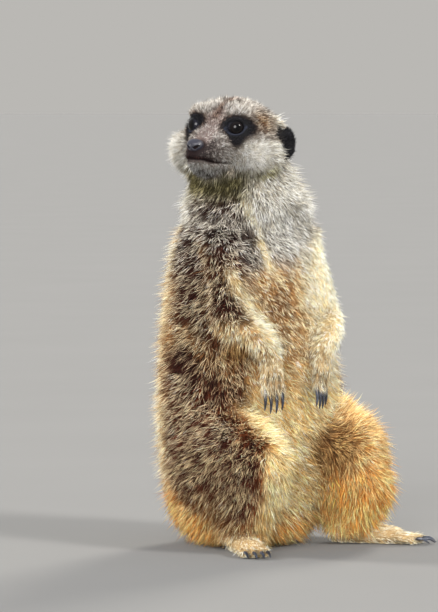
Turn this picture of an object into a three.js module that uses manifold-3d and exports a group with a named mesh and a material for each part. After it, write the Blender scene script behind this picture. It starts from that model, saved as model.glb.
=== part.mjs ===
// A meerkat sitting upright on its haunches, life size, parted into the pieces that a person
// would name. Millimetres, +Z up. The body faces -Y and its left side is +X. The origin is the
// middle of the flat that the rump sits on, at floor level. All sizes go out to the tips of the coat.

import * as THREE from 'three';
import { mergeVertices } from 'three/addons/utils/BufferGeometryUtils.js';
import Module from 'manifold-3d';

const wasm = await Module();
wasm.setup();

// Clearance between pieces, how far their facets may be thinned out, and the block under the floor
const gap = 0.35;
const thinning = 0.13;
const floorBlock = 600;

// Head: the middle of the skull, how it is turned, and its main half sizes
const headCentre = new THREE.Vector3(-13, 4, 252.5);
const headTurn = -77;
const headRoll = 3;
const skullHalfWidth = 33.5;
const cheekReach = 38;
const eyeRadius = 5.4;
const eyePlace = { aside: 15, forward: 18.8, up: 7.4 };
const nosePlace = { forward: 39.5, up: -4 };
const noseSize = new THREE.Vector3(4.8, 4.4, 3.7);
const earPlace = { aside: 31.5, back: 11, up: -2 };
const earSize = new THREE.Vector3(4.6, 7.2, 11);
const earTurn = 24;

// Trunk: half sizes at the haunches, belly, chest and shoulders, their heights, and how far the
// weight hangs over to the left side
const haunch = { height: 48, aside: 1, across: 56, front: 46, back: 52 };
const belly = { height: 82, aside: 4.5, across: 63, front: 48, back: 53 };
const waist = { height: 112, aside: 4, across: 62, front: 46, back: 51 };
const chest = { height: 150, aside: 0, across: 52, front: 43, back: 52 };
const shoulder = { height: 190, aside: 1, across: 48, front: 37, back: 45 };
const shoulderTop = { height: 200, aside: 2, across: 45, front: 33, back: 40 };
const spineBack = 8;

// Limbs: where the joints are on the left and on the right
const elbow = { left: [37, -25, 140], right: [-37, -23, 140] };
const wrist = { left: [20.5, -42, 122], right: [-23, -42, 123] };
const fingertips = { left: [16, -44, 97], right: [-24, -45.5, 96] };
const knee = { left: [54, -46, 52], right: [-37, -56, 57] };
const kneeHalf = { left: [17, 28, 25], right: [17, 21, 22] };
const kneeCap = { left: 11, right: 14 };
const lowerThighHalf = { left: [24, 40, 31], right: [24, 35, 30] };
const heel = { left: [47, -24, 8], right: [-31, -19, 8] };
const toeTips = { left: [83, -67, 3.9], right: [-51, -63, 3.9] };
const digitCount = 4;
const handTurn = 20;
const handHalfWidth = 5.6;
const fingerRadius = 2.6;
const footHalfWidth = 7;
const toeRadius = 3;
const handClawLength = 13;
const footClawLength = 8;
const clawRadius = 1.5;
const clawTipRadius = 0.5;

// Tail: half thickness where it leaves the rump and at its end, and its way over the floor
const tailRootRadius = 14;
const tailEndRadius = 5;
const tailWay = [[6, 38], [22, 62], [48, 88], [80, 110], [115, 127], [152, 138]];
const tailPieces = { tail_base: [0, 2], tail_middle: [2, 4], tail_tip: [4, 5] };

const up = new THREE.Vector3(0, 0, 1);
const ahead = new THREE.Vector3(0, -1, 0);
const bodySides = { left: 1, right: -1 };

const looks = {
  back: { color: 0x6b4a36, roughness: 0.9, metalness: 0 },
  cream: { color: 0xd9c7a2, roughness: 0.9, metalness: 0 },
  golden: { color: 0xc68a45, roughness: 0.9, metalness: 0 },
  grey: { color: 0xc9bfae, roughness: 0.9, metalness: 0 },
  black: { color: 0x16141a, roughness: 0.8, metalness: 0 },
  eye: { color: 0x0b0a0d, roughness: 0.1, metalness: 0 },
  nose: { color: 0x35343c, roughness: 0.45, metalness: 0 },
  claw: { color: 0x2b2f3a, roughness: 0.35, metalness: 0 },
};

const vector = (place) => new THREE.Vector3(...place);
const degrees = THREE.MathUtils.degToRad;

// One station of a form: its middle, and its half sizes across, to the front and to the back.
function ring(at, across, front = across, back = front) {
  return { at: Array.isArray(at) ? vector(at) : at, size: new THREE.Vector3(across, front, back) };
}

function toSolid(geometry) {
  geometry.deleteAttribute('normal');
  geometry.deleteAttribute('uv');
  const merged = mergeVertices(geometry);
  return new wasm.Manifold(new wasm.Mesh({
    numProp: 3,
    vertProperties: new Float32Array(merged.attributes.position.array),
    triVerts: new Uint32Array(merged.index.array),
  }));
}

// A form is a function that makes its solid, grown by a clearance. This joins several forms.
function join(forms) {
  return (grow = 0) => forms.map((form) => form(grow)).reduce((whole, solid) => whole.add(solid));
}

// A capsule bent along a smooth line through its rings, with the rings' own half sizes. The rings
// stand square to the line, or to the level direction where one is given.
function bent(rings, { front, caps, sides = 12, steps = 4, capSteps = 2, level, matrix }) {
  const line = new THREE.CatmullRomCurve3(rings.map((r) => r.at), false, 'centripetal');
  const sizes = new THREE.CatmullRomCurve3(rings.map((r) => r.size), false, 'centripetal');
  return (grow = 0) => {
    const capsule = new THREE.CapsuleGeometry(1, 1, capSteps, sides, steps);
    const { position } = capsule.attributes;
    for (let i = 0; i < position.count; i += 1) {
      const unit = new THREE.Vector3().fromBufferAttribute(position, i);
      const t = THREE.MathUtils.clamp(unit.y + 0.5, 0, 1);
      const along = (level ?? line.getTangent(t)).clone();
      const frontward = front.clone().addScaledVector(along, -front.dot(along)).normalize();
      const across = along.clone().cross(frontward);
      const size = sizes.getPoint(t).addScalar(grow);
      const beyond = unit.y + 0.5 - t;
      const cap = caps[beyond > 0 ? 1 : 0] + grow;
      const point = line.getPoint(t)
        .addScaledVector(across, unit.x * size.x)
        .addScaledVector(frontward, unit.z * (unit.z > 0 ? size.y : size.z))
        .addScaledVector(along, beyond * cap);
      position.setXYZ(i, point.x, point.y, point.z);
    }
    if (matrix) capsule.applyMatrix4(matrix);
    return toSolid(capsule);
  };
}

// A ball with its own three half sizes, turned about the upright and set in the head's frame.
function headBall(centre, radii, { turn = 0, sides = 12, rings = 8 } = {}) {
  return (grow = 0) => {
    const geometry = new THREE.SphereGeometry(1, sides, rings);
    geometry.rotateX(Math.PI / 2);
    geometry.scale(radii.x + grow, radii.y + grow, radii.z + grow);
    geometry.rotateZ(degrees(turn));
    geometry.translate(centre.x, centre.y, centre.z);
    geometry.applyMatrix4(inHead);
    return toSolid(geometry);
  };
}

// The head's own frame: x to its left, -y forwards, z up, from the middle of the skull.
function headFrame() {
  const rolled = new THREE.Matrix4().makeRotationY(degrees(headRoll));
  const turned = new THREE.Matrix4().makeRotationZ(degrees(headTurn));
  return new THREE.Matrix4().makeTranslation(headCentre).multiply(turned).multiply(rolled);
}

const inHead = headFrame();

// Skull and muzzle in one form, wide at the cheeks and stepping down in front of the eyes.
function skull() {
  const rings = [
    ring([0, 29, -2], 21, 17, 20),
    ring([0, 15, -4], skullHalfWidth * 0.86, 26, 22),
    ring([0, 1, -5], skullHalfWidth, 31.5, 21),
    ring([0, -11, -5], skullHalfWidth * 0.97, 29, 20),
    ring([0, -19, -3], 24, 20.5, 20.5),
    ring([0, -27, -4.5], 15, 11, 18),
    ring([0, -34, -7], 11, 7, 14),
    ring([0, -39, -8.5], 8, 5, 9.5),
  ];
  const shape = { front: up, level: ahead, caps: [9, 3.5], sides: 18, steps: 10 };
  return bent(rings, { ...shape, matrix: inHead });
}

// The fur that flares out below and behind an eye.
function cheek(side) {
  const thickness = 15;
  const centre = new THREE.Vector3(side * (cheekReach - thickness), -6, -8);
  return headBall(centre, new THREE.Vector3(thickness, 17, 15));
}

// The brow that overhangs an eye.
function brow(side) {
  const centre = new THREE.Vector3(side * 16, -12.5, 14);
  return headBall(centre, new THREE.Vector3(9.5, 7, 6.8), { sides: 10, rings: 6 });
}

// The shallow hollow that an eye sits in.
function orbit(side) {
  const centre = new THREE.Vector3(side * (eyePlace.aside + 6.8), -eyePlace.forward - 6.6, eyePlace.up);
  return headBall(centre, new THREE.Vector3(7.5, 7.5, 6), { sides: 8, rings: 5 });
}

function head() {
  const flesh = join([skull(), cheek(-1), cheek(1), brow(-1), brow(1)]);
  const hollows = [orbit(-1), orbit(1)];
  return (grow = 0) => hollows.reduce((solid, hollow) => solid.subtract(hollow(-grow)), flesh(grow));
}

function eye(side) {
  const centre = new THREE.Vector3(side * eyePlace.aside, -eyePlace.forward, eyePlace.up);
  return headBall(centre, new THREE.Vector3(eyeRadius, eyeRadius, eyeRadius), { rings: 7 });
}

function nose() {
  return headBall(new THREE.Vector3(0, -nosePlace.forward, nosePlace.up), noseSize, { sides: 10, rings: 6 });
}

// A small round flap against the side of the head, hollowed on its outer, forward face.
function ear(side) {
  const centre = new THREE.Vector3(side * earPlace.aside, earPlace.back, earPlace.up);
  const bowlCentre = centre.clone().add(new THREE.Vector3(side * 3.4, -4.4, 0));
  const bowlSize = earSize.clone().multiply(new THREE.Vector3(0.62, 0.8, 0.72));
  const flap = headBall(centre, earSize, { turn: -side * earTurn, sides: 10, rings: 7 });
  const bowl = headBall(bowlCentre, bowlSize, { turn: -side * earTurn, sides: 8, rings: 5 });
  return (grow = 0) => (grow ? flap(grow) : flap().subtract(bowl()));
}

function neck() {
  const rings = [
    ring([0, 6, 198], 36, 30, 34),
    ring([1, 6, 208], 43, 36, 40),
    ring([-4, 5, 222], 36, 33, 35),
    ring([-10, 5, 240], 32, 29, 31),
  ];
  return bent(rings, { front: ahead, level: up, caps: [8, 8], sides: 16, steps: 3 });
}

// From the rump to the shoulders, with the belly in front.
function trunk() {
  const stations = [haunch, belly, waist, chest, shoulder, shoulderTop];
  const rings = stations.map((s) => ring([s.aside, spineBack, s.height], s.across, s.front, s.back));
  rings.unshift(ring([0, spineBack, 23], 49, 42, 46));
  return bent(rings, { front: ahead, level: up, caps: [25, 12], sides: 20, steps: 7 });
}

function upperArm(name) {
  const side = bodySides[name];
  const [x, y, z] = elbow[name];
  const rings = [
    ring([side * 30, -3, 190], 16, 18),
    ring([x - side * 5, y + 9, 164], 14, 15.5),
    ring([x, y + 2, z + 1], 12, 13),
  ];
  return bent(rings, { front: ahead, caps: [12, 9], sides: 10 });
}

function forearm(name) {
  const middle = vector(elbow[name]).lerp(vector(wrist[name]), 0.5).add(new THREE.Vector3(0, -3, 1));
  const rings = [ring(elbow[name], 11, 12), ring(middle, 10, 10.5), ring(wrist[name], 7.5, 7.5)];
  return bent(rings, { front: ahead, caps: [8, 5], sides: 10, steps: 3 });
}

// The places of the digits across a paw, from -1 to 1.
function digitPlaces() {
  return Array.from({ length: digitCount }, (_, i) => (2 * i) / (digitCount - 1) - 1);
}

// Across the hand: the inner edge is turned forwards.
function acrossHand(name) {
  return new THREE.Vector3(1, 0, 0).applyAxisAngle(up, bodySides[name] * degrees(handTurn));
}

// The outer fingers end a little higher than the middle ones.
function fingerEnd(name, place) {
  const outerLift = 2 * place * place;
  return vector(fingertips[name])
    .addScaledVector(acrossHand(name), place * handHalfWidth)
    .addScaledVector(up, outerLift + fingerRadius);
}

// Palm and four fingers, hanging from the wrist.
function hand(name) {
  const from = vector(wrist[name]);
  const middle = from.clone().lerp(vector(fingertips[name]), 0.5);
  const across = acrossHand(name);
  const palmFront = across.clone().cross(up);
  const palm = bent(
    [ring(from.clone().addScaledVector(up, -2), 7, 6), ring(middle, 8, 5)],
    { front: palmFront, caps: [4, 4], sides: 8, steps: 1 },
  );
  const finger = (place) => bent(
    [
      ring(middle.clone().addScaledVector(across, place * (handHalfWidth - 0.5)), fingerRadius),
      ring(fingerEnd(name, place), fingerRadius),
    ],
    { front: palmFront, caps: [fingerRadius, fingerRadius], sides: 6, steps: 1, capSteps: 1 },
  );
  return join([palm, ...digitPlaces().map(finger)]);
}

// A claw curves from its root, through a middle point, to a blunt tip.
function claw(root, middle, tip, front) {
  const rings = [ring(root, clawRadius), ring(middle, clawRadius * 0.8), ring(tip, clawTipRadius)];
  return bent(rings, { front, caps: [1, 0.7], sides: 5, steps: 2, capSteps: 1 });
}

function handClaw(name, place) {
  const root = fingerEnd(name, place);
  const middle = root.clone().add(new THREE.Vector3(0, -1.4, -handClawLength * 0.6));
  const tip = root.clone().add(new THREE.Vector3(0, -0.3, -handClawLength));
  return claw(root, middle, tip, ahead);
}

function footDirection(name) {
  return vector(toeTips[name]).sub(vector(heel[name])).setZ(0).normalize();
}

function acrossFoot(name) {
  return footDirection(name).cross(up);
}

// The ball of the foot, where the toes begin.
function footBall(name) {
  return vector(heel[name]).lerp(vector(toeTips[name]), 0.66).setZ(5);
}

// The outer toes end behind the middle ones.
function toeEnd(name, place) {
  const outerSetback = 3.4 * place * place;
  return vector(toeTips[name])
    .addScaledVector(acrossFoot(name), place * footHalfWidth)
    .addScaledVector(footDirection(name), -outerSetback - toeRadius);
}

// A long sole from the heel to the ball of the foot, and four toes flat on the floor.
function foot(name) {
  const middle = vector(heel[name]).lerp(vector(toeTips[name]), 0.33).setZ(6.5);
  const sole = bent(
    [ring(heel[name], 8, 9), ring(middle, 8.5, 8), ring(footBall(name), footHalfWidth + 2, 6)],
    { front: up, caps: [7, 5], sides: 10, steps: 2 },
  );
  const toe = (place) => bent(
    [
      ring(footBall(name).addScaledVector(acrossFoot(name), place * footHalfWidth), toeRadius + 0.6),
      ring(toeEnd(name, place), toeRadius, toeRadius, toeRadius + 1.4),
    ],
    { front: up, caps: [toeRadius, toeRadius], sides: 6, steps: 1, capSteps: 1 },
  );
  return join([sole, ...digitPlaces().map(toe)]);
}

function footClaw(name, place) {
  const root = toeEnd(name, place).addScaledVector(footDirection(name), toeRadius * 0.5);
  const middle = root.clone().addScaledVector(footDirection(name), footClawLength * 0.6);
  const tip = root.clone().addScaledVector(footDirection(name), footClawLength).setZ(1.4);
  return claw(root, middle, tip, up);
}

// From deep in the haunch forwards and outwards to the knee.
function thigh(name) {
  const side = bodySides[name];
  const hip = new THREE.Vector3(side * 22, 22, 54);
  const end = vector(knee[name]);
  const outward = new THREE.Vector3(side * 4, 0, -1);
  const rings = [
    ring(hip, 27, 40, 43),
    ring(hip.clone().lerp(end, 0.36).add(outward), 29, 44, 39),
    ring(hip.clone().lerp(end, 0.7).add(outward), ...lowerThighHalf[name]),
    ring(end, ...kneeHalf[name]),
  ];
  return bent(rings, { front: up, caps: [16, kneeCap[name]], sides: 13, steps: 4 });
}

// From the knee down to the heel, bowed outwards by its fur.
function shank(name) {
  const side = bodySides[name];
  const top = vector(knee[name]).add(new THREE.Vector3(-side, 2, -6));
  const bottom = vector(heel[name]).setZ(13);
  const bow = { left: new THREE.Vector3(7, -7, -2), right: new THREE.Vector3(-2, -3, -2) };
  const middle = top.clone().lerp(bottom, 0.55).add(bow[name]);
  const rings = [ring(top, 15, 15), ring(middle, 15, 15), ring(bottom, 10, 10)];
  return bent(rings, { front: ahead, caps: [9, 6], steps: 3 });
}

// The tail lies on the floor, so each station is as high as the tail is thick.
function tailRing(index) {
  const share = index / (tailWay.length - 1);
  const radius = THREE.MathUtils.lerp(tailRootRadius, tailEndRadius, share);
  const sink = 1.2;
  return ring([...tailWay[index], radius - sink], radius);
}

function tail(name) {
  const [first, last] = tailPieces[name];
  const rings = [];
  for (let index = first; index <= last; index += 1) rings.push(tailRing(index));
  const roundness = 0.8;
  const caps = [rings[0].size.x * roundness, rings.at(-1).size.x * roundness];
  return bent(rings, { front: up, caps, sides: 10, steps: rings.length });
}

// Every piece, in the order in which it keeps its full form: each is cut back by those before it.
function pieces() {
  const list = [];
  const put = (name, form, look) => list.push({ name, form, look });
  for (const name of Object.keys(bodySides)) {
    digitPlaces().forEach((place, i) => {
      put(`claw_hand_${name}_${i + 1}`, handClaw(name, place), looks.claw);
      put(`claw_foot_${name}_${i + 1}`, footClaw(name, place), looks.claw);
    });
  }
  put('nose', nose(), looks.nose);
  for (const [name, side] of Object.entries(bodySides)) {
    put(`eye_${name}`, eye(side), looks.eye);
    put(`ear_${name}`, ear(side), looks.black);
    put(`hand_${name}`, hand(name), looks.cream);
    put(`forearm_${name}`, forearm(name), looks.cream);
    put(`upper_arm_${name}`, upperArm(name), looks.cream);
    put(`foot_${name}`, foot(name), looks.cream);
    put(`shank_${name}`, shank(name), looks.golden);
    put(`thigh_${name}`, thigh(name), side > 0 ? looks.golden : looks.back);
  }
  put('head', head(), looks.grey);
  put('tail_base', tail('tail_base'), looks.golden);
  put('tail_middle', tail('tail_middle'), looks.golden);
  put('tail_tip', tail('tail_tip'), looks.black);
  put('neck', neck(), looks.grey);
  put('trunk', trunk(), looks.back);
  return list;
}

function belowFloor() {
  const block = new THREE.BoxGeometry(floorBlock, floorBlock, floorBlock);
  block.translate(0, 0, -floorBlock / 2);
  return toSolid(block);
}

// Where a cut leaves slivers, only the piece itself is kept.
function largest(solid) {
  return solid.decompose().reduce((best, part) => (part.volume() > best.volume() ? part : best));
}

function toMesh(name, solid, look) {
  const { vertProperties, triVerts } = solid.getMesh();
  const geometry = new THREE.BufferGeometry();
  geometry.setAttribute('position', new THREE.BufferAttribute(vertProperties, 3));
  geometry.setIndex(new THREE.BufferAttribute(triVerts, 1));
  const mesh = new THREE.Mesh(geometry, new THREE.MeshStandardMaterial(look));
  mesh.name = name;
  return mesh;
}

const group = new THREE.Group();
let taken = belowFloor();
for (const { name, form, look } of pieces()) {
  const solid = largest(form().subtract(taken)).simplify(thinning);
  group.add(toMesh(name, solid, look));
  taken = taken.add(form(gap));
}

export default group;
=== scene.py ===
import math

import bmesh
import bpy
import numpy as np
from mathutils import Matrix, Vector
from mathutils.bvhtree import BVHTree
from mathutils.kdtree import KDTree


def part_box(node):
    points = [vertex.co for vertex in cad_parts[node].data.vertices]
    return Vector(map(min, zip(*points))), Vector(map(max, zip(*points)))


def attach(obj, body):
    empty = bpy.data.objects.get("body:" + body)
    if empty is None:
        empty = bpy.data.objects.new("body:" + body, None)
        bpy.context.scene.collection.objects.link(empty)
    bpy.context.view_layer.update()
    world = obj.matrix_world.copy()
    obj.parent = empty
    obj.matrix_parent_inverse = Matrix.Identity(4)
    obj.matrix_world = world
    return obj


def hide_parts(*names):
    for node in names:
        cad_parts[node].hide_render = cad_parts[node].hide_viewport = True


# A meerkat sitting upright, looking over its right shoulder. Metres, +Z up, the body faces -Y.
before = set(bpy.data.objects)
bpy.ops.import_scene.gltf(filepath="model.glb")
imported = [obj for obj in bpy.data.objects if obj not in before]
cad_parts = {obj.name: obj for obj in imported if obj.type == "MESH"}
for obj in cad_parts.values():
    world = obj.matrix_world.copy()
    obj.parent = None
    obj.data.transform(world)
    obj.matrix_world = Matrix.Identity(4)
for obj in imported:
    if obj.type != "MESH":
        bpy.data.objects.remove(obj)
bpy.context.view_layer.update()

millimetre = 0.001
seed = 7
bothSides = {"left": 1, "right": -1}


# small helpers
def unit(vectors):
    lengths = np.linalg.norm(vectors, axis=-1, keepdims=True)
    return vectors / np.maximum(lengths, 1e-12)


def fade(low, high, values):
    share = np.clip((values - low) / (high - low), 0, 1)
    return share * share * (3 - 2 * share)


def bump(values, middle, spread):
    return np.exp(-(((values - middle) / spread) ** 2))


def linear(colour):
    share = np.asarray(colour, float) / 255
    return np.where(share <= 0.04045, share / 12.92, ((share + 0.055) / 1.055) ** 2.4)


def middleOf(*nodes):
    corners = [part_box(node) for node in nodes]
    return np.mean([np.array((low + high) / 2) for low, high in corners], axis=0)


rippleSet = {"waves": 6, "lengths": (0.7, 1.4), "shift": (0, 6.28), "height": 3.2}


def ripple(places, size, turns):
    # smooth noise between -1 and 1 from a few crossing waves, size in metres
    waves = np.random.default_rng(turns)
    total = np.zeros(len(places))
    for _ in range(rippleSet["waves"]):
        direction = unit(waves.normal(size=3))
        length = size * waves.uniform(*rippleSet["lengths"])
        total += np.sin(places @ direction * 2 * math.pi / length + waves.uniform(*rippleSet["shift"]))
    return total / rippleSet["height"]


def newObject(name, data):
    piece = bpy.data.objects.new(name, data)
    bpy.context.scene.collection.objects.link(piece)
    return piece


def finishedMesh(name, shape):
    mesh = bpy.data.meshes.new(name)
    shape.to_mesh(mesh)
    shape.free()
    return mesh


def newMaterial(name):
    material = bpy.data.materials.new(name)
    material.use_nodes = True
    nodes, links = material.node_tree.nodes, material.node_tree.links
    return material, nodes, links, nodes["Principled BSDF"]


def rampBetween(nodes, links, source, steps, span):
    # a colour ramp over 0 to span
    scale = nodes.new("ShaderNodeMapRange")
    scale.inputs["From Max"].default_value = span
    ramp = nodes.new("ShaderNodeValToRGB")
    elements = ramp.color_ramp.elements
    while len(elements) < len(steps):
        elements.new(0.5)
    for element, (position, colour) in zip(elements, steps):
        element.position = position / span
        element.color = (*linear(colour), 1)
    links.new(source, scale.inputs["Value"])
    links.new(scale.outputs["Result"], ramp.inputs["Fac"])
    return ramp.outputs["Color"]


def addNoise(nodes, links, scale, detail):
    place = nodes.new("ShaderNodeTexCoord")
    cloud = nodes.new("ShaderNodeTexNoise")
    cloud.inputs["Scale"].default_value = scale
    cloud.inputs["Detail"].default_value = detail
    links.new(place.outputs["Object"], cloud.inputs["Vector"])
    return cloud.outputs["Fac"]


def addRelief(nodes, links, surface, height, strength, distance):
    relief = nodes.new("ShaderNodeBump")
    relief.inputs["Strength"].default_value = strength
    relief.inputs["Distance"].default_value = distance
    links.new(height, relief.inputs["Height"])
    links.new(relief.outputs["Normal"], surface.inputs["Normal"])


def setSurface(surface, roughness, shine=None, varnish=None, varnishRoughness=None):
    # the values that are the same all over a surface, where they aren't Blender's own
    values = {
        "Roughness": roughness,
        "Specular IOR Level": shine,
        "Coat Weight": varnish,
        "Coat Roughness": varnishRoughness,
    }
    for name, value in values.items():
        if value is not None:
            surface.inputs[name].default_value = value


# camera, light and floor
cameraSet = {
    "turn": -40.0,
    "rise": 3.0,
    "distance": 2.5,
    "aim": (-0.0169, 0.0141, 0.1485),
    "lens": 237.15,
    "farEnd": 60,
}

lightSet = {
    # name: (turn, rise, strength, softness in degrees, seen in the eyes, colour)
    "key": (14, 34, 2.8, 14, True, (1.0, 0.97, 0.91)),
    "front": (-56, 16, 3.6, 34, True, (1.0, 0.98, 0.95)),
    "rim": (118, 30, 3.6, 16, False, (1.0, 0.96, 0.86)),
    "rimFar": (-146, 26, 3.4, 16, False, (1.0, 0.97, 0.9)),
}

floorSet = {"size": 60.0, "colour": (125, 125, 125), "darkest": 0.97, "cloudScale": 6}
roomSet = {
    # colours by height, from the floor at 0 to overhead at 1
    "colours": [(0.02, (186, 184, 180)), (0.6, (196, 198, 203))],
    "glow": 1.0,
}


def awayFrom(turn, rise):
    a, e = math.radians(turn), math.radians(rise)
    return Vector((math.sin(a) * math.cos(e), -math.cos(a) * math.cos(e), math.sin(e)))


def addCamera(setting):
    camera = newObject("camera", bpy.data.cameras.new("camera"))
    away = awayFrom(setting["turn"], setting["rise"])
    camera.location = Vector(setting["aim"]) + away * setting["distance"]
    camera.rotation_euler = away.to_track_quat("Z", "Y").to_euler()
    camera.data.lens = setting["lens"]
    camera.data.clip_end = setting["farEnd"]
    bpy.context.scene.camera = camera


def addLight(name, turn, rise, strength, softness, seen, colour):
    lamp = bpy.data.lights.new(name, "SUN")
    lamp.energy = strength
    lamp.angle = math.radians(softness)
    lamp.color = colour
    light = newObject(name, lamp)
    away = awayFrom(turn, rise)
    light.visible_glossy = seen
    light.location = Vector(cameraSet["aim"]) + away
    light.rotation_euler = away.to_track_quat("Z", "Y").to_euler()


def addFloor(setting):
    shape = bmesh.new()
    bmesh.ops.create_grid(shape, x_segments=1, y_segments=1, size=setting["size"])
    floor = newObject("floor", finishedMesh("floor", shape))
    paint, nodes, links, surface = newMaterial("floorPaint")
    steps = [(0, np.array(setting["colour"]) * setting["darkest"]), (1, setting["colour"])]
    cloud = addNoise(nodes, links, setting["cloudScale"], 2)
    links.new(rampBetween(nodes, links, cloud, steps, 1.0), surface.inputs["Base Color"])
    setSurface(surface, roughness=0.85, shine=0.05)
    floor.data.materials.append(paint)


def setWorld(setting):
    # soft light from all round, even with the floor at the horizon and paler overhead
    world = bpy.data.worlds.new("softRoom")
    world.use_nodes = True
    nodes, links = world.node_tree.nodes, world.node_tree.links
    glow = nodes["Background"]
    glow.inputs["Strength"].default_value = setting["glow"]
    place = nodes.new("ShaderNodeTexCoord")
    parts = nodes.new("ShaderNodeSeparateXYZ")
    links.new(place.outputs["Generated"], parts.inputs["Vector"])
    tone = rampBetween(nodes, links, parts.outputs["Z"], setting["colours"], 1.0)
    links.new(tone, glow.inputs["Color"])
    bpy.context.scene.world = world
    bpy.context.scene.view_settings.view_transform = "Standard"


addCamera(cameraSet)
for lightName, lightValues in lightSet.items():
    addLight(lightName, *lightValues)
addFloor(floorSet)
setWorld(roomSet)
print("camera, lights and floor")


# the head's own directions
eyeMiddles = {side: middleOf("eye_" + side) for side in bothSides}
betweenEyes = (eyeMiddles["left"] + eyeMiddles["right"]) / 2
leftward = unit(eyeMiddles["left"] - eyeMiddles["right"])
upward = unit(np.array((0, 0, 1.0)) - leftward * leftward[2])
forward = np.cross(leftward, upward)
eyeRadius = float(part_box("eye_left")[1].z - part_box("eye_left")[0].z) / 2
noseMiddle = middleOf("nose")


def inHead(places):
    # millimetres forward, leftward and upward from the point between the eyes
    offset = (places - betweenEyes) / millimetre
    return offset @ forward, offset @ leftward, offset @ upward


def headPoint(ahead, aside, above):
    return betweenEyes + (forward * ahead + leftward * aside + upward * above) * millimetre


gazeSet = {"ahead": 0.72, "aside": 0.69, "up": 0.05}


def eyeAxes(side):
    # where the eye looks, its outer corner and its upper lid
    aside = leftward * gazeSet["aside"] * bothSides[side]
    look = unit(forward * gazeSet["ahead"] + aside + upward * gazeSet["up"])
    above = unit(upward - look * (upward @ look))
    outer = np.cross(above, look) * bothSides[side]
    outer = outer * np.sign(outer @ (leftward * bothSides[side]))
    return look, outer, above


# skin
# depth: how far the skin lies inside the coat's tips, in millimetres
# ease: how strongly the facets are smoothed away, 0 to 1
skinSet = {
    "voxel": 0.001,
    "swell": 0.00045,
    "ownerSteps": 25,
    "depthSteps": 30,
    "easeSteps": 90,
    "easePull": 0.6,
    "sinkSteps": 8,
    "sinkPull": (0.04, 0.45),
    "triangles": 144000,
    "fine": ("head", "hand", "foot", "ear", "nose", "eye"),
    # the bare skin round the eyes and on the muzzle lies just under the outline, in millimetres
    "bareDepth": 0.9,
    "bareEye": (7, 16),
    "bareMuzzle": (0, 14),
    "middleShare": 0.2,  # how much of the colour of the coat's middle the skin has
    "parts": {
        "trunk": {"depth": 4.6, "ease": 1.0},
        "neck": {"depth": 3.6, "ease": 0.8},
        "head": {"depth": 1.9, "ease": 0.16},
        "nose": {"depth": 1.0, "ease": 0.05},
        "eye": {"depth": 0.9, "ease": 0.02},
        "ear": {"depth": 0.9, "ease": 0.08},
        "upper_arm": {"depth": 3.0, "ease": 0.35},
        "forearm": {"depth": 2.4, "ease": 0.25},
        "hand": {"depth": 1.1, "ease": 0.0},
        "thigh": {"depth": 4.6, "ease": 0.8},
        "shank": {"depth": 3.4, "ease": 0.6},
        "foot": {"depth": 1.3, "ease": 0.02},
        "tail": {"depth": 2.6, "ease": 0.4},
    },
}

fleshNodes = [n for n in sorted(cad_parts) if not n.startswith("claw_")]
partNames = list(skinSet["parts"])


def partOf(node):
    return next(name for name in partNames if node.startswith(name))


def mergedCopy(node):
    shape = bmesh.new()
    shape.from_mesh(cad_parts[node].data)
    bmesh.ops.remove_doubles(shape, verts=shape.verts, dist=1e-6)
    bmesh.ops.recalc_face_normals(shape, faces=shape.faces)
    shape.normal_update()
    return shape


def meshArrays(mesh):
    places = np.zeros(len(mesh.vertices) * 3)
    mesh.vertices.foreach_get("co", places)
    mesh.calc_loop_triangles()
    corners = np.zeros(len(mesh.loop_triangles) * 3, np.int64)
    mesh.loop_triangles.foreach_get("vertices", corners)
    return places.reshape(-1, 3), corners.reshape(-1, 3)


def cornerNormals(places, corners):
    a, b, c = (places[corners[:, k]] for k in range(3))
    faceNormals = np.cross(b - a, c - a)
    total = np.zeros_like(places)
    for k in range(3):
        for axis in range(3):
            total[:, axis] += np.bincount(corners[:, k], faceNormals[:, axis], len(places))
    return unit(total)


class Neighbours:
    # averages a value over the points next to each point of a mesh
    def __init__(self, corners, count):
        pairs = np.concatenate((corners[:, [0, 1]], corners[:, [1, 2]], corners[:, [2, 0]]))
        pairs = np.unique(np.sort(pairs, axis=1), axis=0)
        self.start = np.concatenate((pairs[:, 0], pairs[:, 1]))
        self.end = np.concatenate((pairs[:, 1], pairs[:, 0]))
        self.count = count
        self.valence = np.maximum(np.bincount(self.start, minlength=count), 1)

    def mean(self, values):
        if values.ndim == 1:
            return np.bincount(self.start, values[self.end], self.count) / self.valence
        return np.stack([self.mean(values[:, k]) for k in range(values.shape[1])], axis=1)

    def soften(self, values, steps, share=0.5):
        for _ in range(steps):
            values = values + (self.mean(values) - values) * share
        return values


def wholeBody(setting):
    # every node of flesh, swollen enough to close the gaps, made one closed surface
    joined = bmesh.new()
    owners = []
    for node in fleshNodes:
        shape = mergedCopy(node)
        for corner in shape.verts:
            corner.co += corner.normal * setting["swell"]
        owners += [partNames.index(partOf(node))] * len(shape.faces)
        copy = finishedMesh("copy", shape)
        joined.from_mesh(copy)
        bpy.data.meshes.remove(copy)
    tree = BVHTree.FromBMesh(joined)
    body = newObject("skin", finishedMesh("skin", joined))
    remesh = body.modifiers.new("remesh", "REMESH")
    remesh.mode = "VOXEL"
    remesh.voxel_size = setting["voxel"]
    applyModifiers(body)
    return body, tree, np.array(owners)


def applyModifiers(piece):
    graph = bpy.context.evaluated_depsgraph_get()
    finished = bpy.data.meshes.new_from_object(piece.evaluated_get(graph))
    old = piece.data
    piece.modifiers.clear()
    piece.data = finished
    bpy.data.meshes.remove(old)


def nearestOf(points, places):
    # which of the points is nearest to each place
    tree = KDTree(len(points))
    for i, p in enumerate(points):
        tree.insert(p, i)
    tree.balance()
    return np.array([tree.find(p)[1] for p in places])


def distanceFrom(spot, places):
    return np.linalg.norm(places - spot, axis=1) / millimetre


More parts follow.
